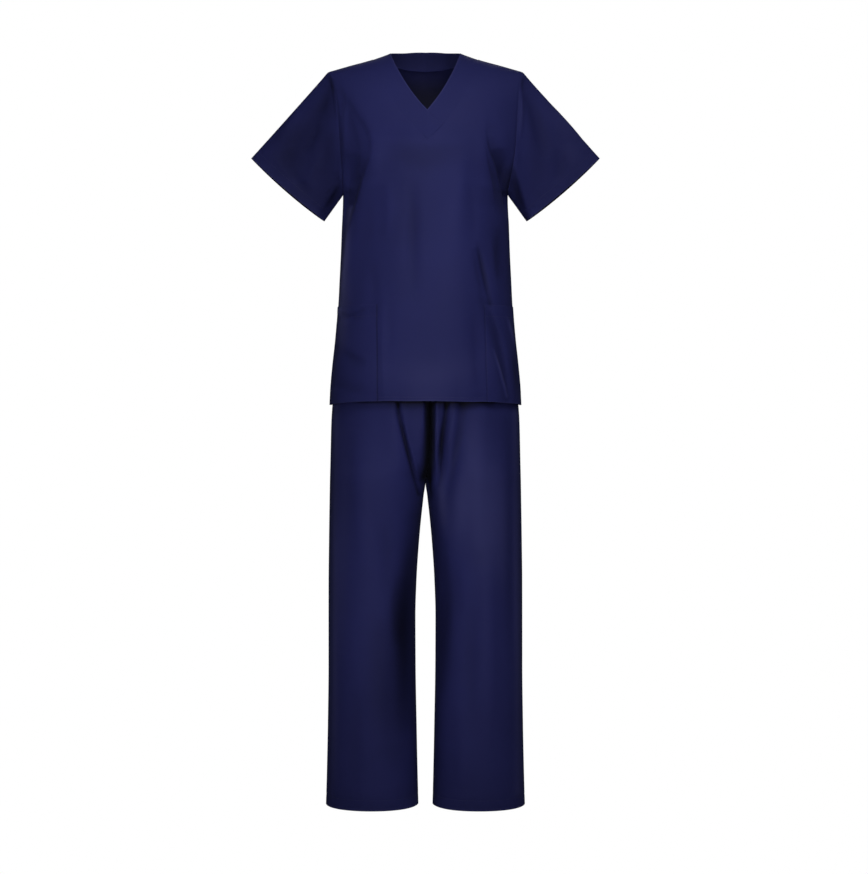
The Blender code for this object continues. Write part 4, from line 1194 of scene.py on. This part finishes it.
trouserFrontLeftCreases = [
    (((46, -727), (41, -768), (35, -809), (30, -858), (26, -907)), (4.5, 4.9), 4.8, (1, 0.2), 0.9),
    (((25, -739), (24, -792), (22, -843), (20, -894)), (4.1, 4.1), -2.4, (0.7, 0.1), -0.2),
    (((61, -731), (55, -780), (46, -837)), (7.0, 6.1), -2.2, (0.7, 0.1), -0.05),
    (((77, -727), (73, -772), (65, -825), (55, -882), (42, -936)), (12.3, 8.2), 2.9, (1, 0.2), 0.38),
    (((9, -870), (10, -903), (13, -940)), (3.7, 3.7), 0.0, (0.8, 0.1), 0.85),
    (((16, -1059), (22, -1141), (22, -1224), (20, -1348), (16, -1515)), (5.3, 4.1), 0.0, (0.3, 0.6), -0.24),
    (((118, -741), (112, -833), (108, -936), (104, -1060)), (22.5, 18.4), -4.3, (0.7, 0.1), -0.06),
    (((104, -755), (98, -854), (94, -961), (104, -1060)), (32.8, 30.7), -1.4, (0.3, 0.2), -0.36),
    (((137, -838), (133, -970), (134, -1102)), (22.5, 24.6), 0.0, (0.2, 0.2), -0.42),
    (((180, -792), (183, -938), (183, -1085), (181, -1252)), (12.3, 16.4), 3.6, (0.4, 0.1), 0.09),
    (((188, -754), (190, -1022), (192, -1315), (192, -1546)), (8.2, 7.4), -1.2, (0.9, 0.6), -0.62),
    (((28, -1009), (36, -1063), (43, -1137), (38, -1224), (32, -1349)), (14.3, 16.4), 2.4, (0.3, 0.1), 0.37),
    (((32, -858), (34, -931), (40, -1005)), (10.2, 8.2), 0.0, (0.2, 0.3), -0.75),
    (((159, -867), (161, -979), (161, -1124)), (16.4, 16.4), 0.0, (0.2, 0.2), -0.28),
    (((73, -874), (71, -952), (65, -1034)), (18.4, 18.4), 0.0, (0.3, 0.3), -0.34),
    (((131, -1030), (134, -1185), (134, -1331), (130, -1456)), (16.4, 18.4), -3.6, (0.2, 0.2), -0.04),
    (((96, -1142), (92, -1267), (96, -1412)), (16.4, 16.4), 2.6, (0.1, 0.1), 0.08),
    (((71, -1349), (76, -1453), (72, -1558)), (18.4, 18.4), -2.4, (0.1, 0.6), 0),
    (((34, -1563), (109, -1584), (172, -1575)), (24.6, 18.4), 0.6, (0.7, 0.3), 0.05),
    (((67, -1059), (63, -1109), (71, -1183)), (12.3, 12.3), 1.4, (0.1, 0.1), 0.1),
]
trouserBackRightCreases = [
    (((-70, -735), (-52, -800), (-24, -900)), (9, 13), 7.2, (0.8, 0.2), 0.38),
    (((-96, -760), (-88, -860), (-60, -960)), (12, 16), -4.1, (0.5, 0.1), 0.0),
    (((-132, -780), (-126, -980), (-130, -1200)), (20, 24), -3.8, (0.3, 0.1), 0.0),
    (((-50, -960), (-58, -1100), (-60, -1300), (-56, -1420)), (16, 18), 6.0, (0.3, 0.1), 0.31),
    (((-166, -900), (-168, -1080), (-164, -1260)), (12, 14), 4.1, (0.2, 0.1), 0.21),
    (((-110, -1240), (-116, -1400), (-112, -1576)), (18, 18), -3.1, (0.1, 0.6), 0.0),
]
trouserBackLeftCreases = [
    (((66, -735), (50, -810), (22, -905)), (13, 9), 7.2, (0.8, 0.2), 0.38),
    (((100, -750), (84, -850), (52, -940)), (14, 12), 3.8, (0.5, 0.1), 0.2),
    (((136, -790), (130, -960), (134, -1180)), (22, 20), -4.1, (0.3, 0.1), 0.0),
    (((46, -980), (56, -1120), (62, -1290), (58, -1400)), (18, 16), 6.0, (0.3, 0.1), 0.31),
    (((170, -880), (170, -1060), (166, -1300)), (14, 12), 3.8, (0.2, 0.1), 0.2),
    (((104, -1220), (112, -1390), (106, -1576)), (18, 20), -3.4, (0.1, 0.6), 0.0),
]
trouser = {
    "columns": {front: 124, back: 72},
    "rows": {front: 230, back: 190},
    "flat": {front: (0.33, 0.98), back: (0.31, 0.98)},
    "area": {front: 0.292, back: 0.274},
    "hem": 22.0,
    "hemGroove": 0.5,
    "seams": (0.7, 2.8),
    "inseamFrom": (-905.0, 40.0),  # height where the rise beside the inseam starts, and over which it grows
    "creaseFade": 20.0,
    "cleftShade": 1.0,
    "cleftFull": 40.0,  # depth of the cleft at which its shade is full
    "cleftEnd": (-908.0, 18.0),
    "paleEdge": (0.5, 1.6),
    "paleSeam": (0.15, 2.0),
    "creases": {
        front: {right: trouserFrontRightCreases, left: trouserFrontLeftCreases},
        back: {right: trouserBackRightCreases, left: trouserBackLeftCreases},
    },
}
underTop = {  # shade below the hem of the top, by x, and how far down it goes
    "soft": (
        [-160, -130, -80, -35, 70, 90, 132, 146, 165],
        [0, 0.28, 0.35, 0.84, 0.84, 0.95, 0.95, 0.4, 0.15],
    ),
    "softDrop": 19,
    "edge": ([-175, -120, 140, 158], [0, 0.55, 0.55, 0.2]),
    "edgeDrop": (1.5, 3),
}


def trouserRing(side, height):
    ring = {name: curve(height) for name, curve in trousers.items()}
    return ring, ring["cleft" + names[side].capitalize()]


# around goes half round a leg, from the side seam, 0, to the inseam, 1.
def trouserPoint(side, hand, around, height):
    ring, cleft = trouserRing(side, height)
    theta = around * np.pi
    cosine, sine = np.cos(theta), np.abs(np.sin(theta))
    squared = 2 / trouserForm["corner"]
    inset = (1 + np.abs(cosine) ** squared * np.sign(cosine)) / 2
    inner = ring["inner"] + hand * ring["centre"]
    x = mix(inner, ring["outer"], inset)
    seamY = mix(trouserForm["inseamY"], trouserForm["sideY"], inset)
    endY = ring[names[side]]
    hips = mix(trouserForm["sideY"], endY, np.sqrt(np.maximum(1 - (x / ring["outer"]) ** 2, 0)))
    away = np.maximum(x - inner, 0) / ring["cleftWide"]
    hips = hips - side * cleft * np.exp(-(away ** trouserForm["cleftFlare"]))
    y = mix(hips, mix(seamY, endY, sine ** squared), ring["leg"])
    inward = foldDepth(trouserFolds[side], hand * x, height)
    nearHem = np.maximum(0, 1 - (height - trouserForm["hem"]) / trouserForm["hemReach"])
    dip = trouserForm["hemDip"] * sine * nearHem
    return points(hand * x, y - side * inward * sine**0.5, height - dip)


def cleftShade(side, around, height):
    ring, cleft = trouserRing(side, height)
    away = ring["outer"] * ((1 + np.cos(around * np.pi)) / 2) / ring["cleftWide"]
    end, long = trouser["cleftEnd"]
    deep = smooth(cleft / trouser["cleftFull"]) * smooth((height - end) / long)
    return trouser["cleftShade"] * (np.exp(-(away**4)) * deep)


def topShade(side, x, height):
    hem = topForm["hem"]
    across = [-torso["right"](hem), *[line(hem) for line in columnLines.values()], torso["left"](hem)]
    wave = hemWave(np.interp(x, across, panelStops)) if side == front else 0
    below = levelRow(np.interp(x, across, panelStops), hem, topForm["hemRise"]) + wave - height
    start, long = underTop["edgeDrop"]
    soft = np.interp(x, *underTop["soft"]) * np.clip(1 - below / underTop["softDrop"], 0, 1)
    return soft + np.interp(x, *underTop["edge"]) * (1 - smooth((below - start) / long))


def trouserMake(side, hand, name):
    fall = (trouserForm["waist"], trouserForm["hem"])
    share, height = gridSteps(trouser["columns"][side], trouser["rows"][side], down=fall)
    around = share if hand == side else 1 - share
    grid = trouserPoint(side, hand, around, height)
    normals, far = gridNormals(grid), edgeDistances(grid)
    inset, shade = creaseField(trouser["creases"][side][hand], grid)
    shade = shade + cleftShade(side, around, height) + topShade(side, grid[..., 0], height)
    edge = np.minimum(far["first"], far["last"])
    outerEdge, innerEdge = [far[end] for end in (("first", "last") if hand == side else ("last", "first"))]
    start, long = trouser["inseamFrom"]
    legs = smooth((start - height) / long)
    lift = -inset * smooth(edge / trouser["creaseFade"])
    lift += seamPillow(outerEdge, *trouser["seams"]) + seamPillow(innerEdge, *trouser["seams"]) * legs
    lift += groove(far["bottom"] - trouser["hem"], trouser["hemGroove"])
    outer = grid + normals * lift[..., None]
    normals = gridNormals(outer)
    # Pale lines at the hem edge and the seams: painted highlight with some wear.
    wearAndHighlight = ridge(far["bottom"], *trouser["paleEdge"]) + ridge(edge, *trouser["paleSeam"])
    node, piece = f"trouser_{names[side]}_{name.lower()}", "trouser" + names[side].capitalize() + name
    spec = {**trouser, "flat": trouser["flat"][side], "area": trouser["area"][side]}
    hemmedCloth(node, piece, spec, outer, normals, far, wearAndHighlight, shade, ("first", "last"))


for hand, name in hands:
    for side in (front, back):
        trouserMake(side, hand, name)

waistband = {  # an elastic casing under the top
    "columns": 260,
    "rows": 16,
    "flat": (0.85, 0.040),
    "layers": 2 * wall + 0.4,
    "gathers": 0.55,
    "seed": 5,
    "paleEdge": (0.4, 1.6),
}


def waistbandMake():
    quarter = waistband["columns"] // 4
    deep = trouserForm["waistbandDeep"]
    share = np.linspace(0, 1, quarter, endpoint=False)
    parts = []
    for side, hand in ((front, right), (front, left), (back, left), (back, right)):
        around = share if hand == side else 1 - share
        parts.append(trouserPoint(side, hand, around, np.full(quarter, trouserForm["waist"])))
    v = np.linspace(0, 1, waistband["rows"] + 1)[:, None, None]
    grid = np.concatenate(parts)[None] + np.array([0, 0, deep]) * (1 - v)
    normals, far = gridNormals(grid, True), edgeDistances(grid, True)
    waves = wobble(far["along"], waistband["seed"])
    lift = waistband["gathers"] * waves * np.sin(np.pi * np.clip(far["top"] / deep, 0, 1))
    outer = grid + normals * lift[..., None]
    # Pale line along the top edge: painted highlight with some wear.
    wearAndHighlight = ridge(far["top"], *waistband["paleEdge"])
    obj = makeCloth("waistBand", outer, normals, waistband["layers"], wearAndHighlight, np.zeros_like(wearAndHighlight), closed=True)
    finishCloth("waistband", obj)


waistbandMake()


def stitchTree(material):
    tree = bpy.data.node_groups.new("stitchRows", "GeometryNodeTree")

    def socket(label, kind, way="INPUT"):
        return tree.interface.new_socket(label, in_out=way, socket_type="NodeSocket" + kind)

    socket("Geometry", "Geometry")
    sockets = {label: socket(label, kind) for label, kind in
               (("Stitch length", "Float"), ("Stitch width", "Float"), ("Seed", "Int"))}
    socket("Geometry", "Geometry", "OUTPUT")
    start = newNode(tree, "NodeGroupInput").outputs

    def attribute(label):
        node = newNode(tree, "GeometryNodeInputNamedAttribute", {"Name": label}, data_type="FLOAT_VECTOR")
        return node.outputs["Attribute"]

    def aligned(inputs, **axes):
        return newNode(tree, "FunctionNodeAlignRotationToVector", inputs, **axes).outputs["Rotation"]

    ball = newNode(tree, "GeometryNodeMeshUVSphere", {"Segments": 6, "Rings": 4, "Radius": 0.5})
    upright = aligned({"Vector": attribute("up")}, axis="Z")
    turned = aligned({"Rotation": upright, "Vector": attribute("along")}, axis="X", pivot_axis="Z")
    low, high = stitch["uneven"]
    inputs = {2: low, 3: high, "Seed": start["Seed"]}
    uneven = newNode(tree, "FunctionNodeRandomValue", inputs, data_type="FLOAT").outputs[1]
    inputs = {0: start["Stitch length"], 1: uneven}
    long = newNode(tree, "ShaderNodeMath", inputs, operation="MULTIPLY").outputs["Value"]
    width = start["Stitch width"]
    size = newNode(tree, "ShaderNodeCombineXYZ", {"X": long, "Y": width, "Z": width})
    put = newNode(tree, "GeometryNodeInstanceOnPoints", {
        "Points": start["Geometry"],
        "Instance": ball.outputs["Mesh"],
        "Rotation": turned,
        "Scale": size.outputs["Vector"],
    })
    whole = newNode(tree, "GeometryNodeRealizeInstances", {"Geometry": put.outputs["Instances"]})
    inputs = {"Geometry": whole.outputs["Geometry"], "Material": material}
    painted = newNode(tree, "GeometryNodeSetMaterial", inputs)
    newNode(tree, "NodeGroupOutput", {"Geometry": painted.outputs["Geometry"]})
    return tree, sockets


def sewingMake():
    places, along, up = [np.concatenate(part) for part in zip(*stitchLines)]
    mesh = bpy.data.meshes.new("sewingPoints")
    mesh.from_pydata((places * metres).tolist(), [], [])
    for label, values in (("along", along), ("up", up)):
        vectors = mesh.attributes.new(label, "FLOAT_VECTOR", "POINT").data
        vectors.foreach_set("vector", values.astype(np.float32).ravel())
    source = newObject("sewingPoints", mesh)
    tree, sockets = stitchTree(plainMaterial("threadNavy", cloth["thread"], stitch["rough"]))
    modifier = source.modifiers.new("stitches", "NODES")
    modifier.node_group = tree
    for label, key in (("Stitch length", "length"), ("Stitch width", "width"), ("Seed", "seed")):
        modifier[sockets[label].identifier] = stitch[key]
    evaluated = source.evaluated_get(bpy.context.evaluated_depsgraph_get())
    made = bpy.data.meshes.new_from_object(evaluated)
    made.name = "sewing"
    obj = newObject("sewing", made)
    bpy.data.objects.remove(source, do_unlink=True)
    made.shade_smooth()
    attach(obj, "root")
    print(f"made sewing: {len(places)} stitches")


sewingMake()

camera = {"place": (0.018, -4.2, -0.807), "lens": 82.4}
light = {
    "world": 0.03,
    "aim": (0.0, 0.0, -0.7),
    "far": 3.8,
    "size": 1.4,
    "around": [  # degrees to the viewer's right and upwards, and power
        (12, 50, 46.0),
        (68, 40, 7.0),
        (-72, 12, 7.0),
        (178, 38, 14.0),
    ],
    "strips": [  # x and z of tall soft boxes in front of the set, width, height, spread in degrees, and power
        (-0.01, -0.82, 0.30, 1.60, 36, 1.16),
        (-0.01, -0.14, 0.36, 0.34, 36, 0.34),
    ],
    "stripY": -1.6,
}
ground = {
    "height": -1.92,
    "corners": [(-2.2, -2.6), (2.2, -2.6), (2.2, 0.75), (-2.2, 0.75)],
    "colour": (0.86, 0.86, 0.86),
    "rough": 0.9,
}


def areaLight(name, place, aim, size, power, spread=180):
    data = bpy.data.lights.new(name, "AREA")
    data.shape = "ELLIPSE"
    data.size, data.size_y = size
    data.energy = power
    data.spread = math.radians(spread)
    obj = newObject(name, data)
    obj.location = place
    obj.rotation_euler = (Vector(aim) - Vector(place)).to_track_quat("-Z", "Y").to_euler()
    obj.visible_camera = False


def lightsMake():
    for number, (turn, rise, power) in enumerate(light["around"]):
        turn, rise = math.radians(turn), math.radians(rise)
        away = Vector((math.sin(turn) * math.cos(rise), -math.cos(turn) * math.cos(rise), math.sin(rise)))
        place = Vector(light["aim"]) + away * light["far"]
        areaLight(f"soft{number}", place, light["aim"], (light["size"], light["size"]), power)
    for number, (x, z, wide, high, spread, power) in enumerate(light["strips"]):
        areaLight(f"strip{number}", (x, light["stripY"], z), (x, 0.0, z), (wide, high), power, spread)


def worldMake():
    world = bpy.data.worlds.new("studio")
    bpy.context.scene.world = world
    world.use_nodes = True
    tree = world.node_tree
    seen = tree.nodes["Background"]  # what the camera sees behind the set
    seen.inputs["Color"].default_value = (1, 1, 1, 1)
    seen.inputs["Strength"].default_value = 1.0
    soft = newNode(tree, "ShaderNodeBackground", {"Color": (1, 1, 1, 1), "Strength": light["world"]})
    ray = newNode(tree, "ShaderNodeLightPath").outputs["Is Camera Ray"]
    shaders = {"Fac": ray, 1: soft.outputs["Background"], 2: seen.outputs["Background"]}
    both = newNode(tree, "ShaderNodeMixShader", shaders)
    tree.links.new(both.outputs["Shader"], tree.nodes["World Output"].inputs["Surface"])


def groundMake():
    mesh = bpy.data.meshes.new("floor")
    mesh.from_pydata([(x, y, ground["height"]) for x, y in ground["corners"]], [], [(0, 1, 2, 3)])
    mesh.materials.append(plainMaterial("floorPale", ground["colour"], ground["rough"]))
    newObject("floor", mesh)


def cameraMake():
    data = bpy.data.cameras.new("camera")
    data.lens = camera["lens"]
    data.sensor_width = 36
    eye = newObject("camera", data)
    eye.location = camera["place"]
    eye.rotation_euler = (math.radians(90), 0, 0)
    bpy.context.scene.camera = eye
    bpy.context.scene.view_settings.view_transform = "Standard"


groundMake()
worldMake()
lightsMake()
cameraMake()
print("studio ready")
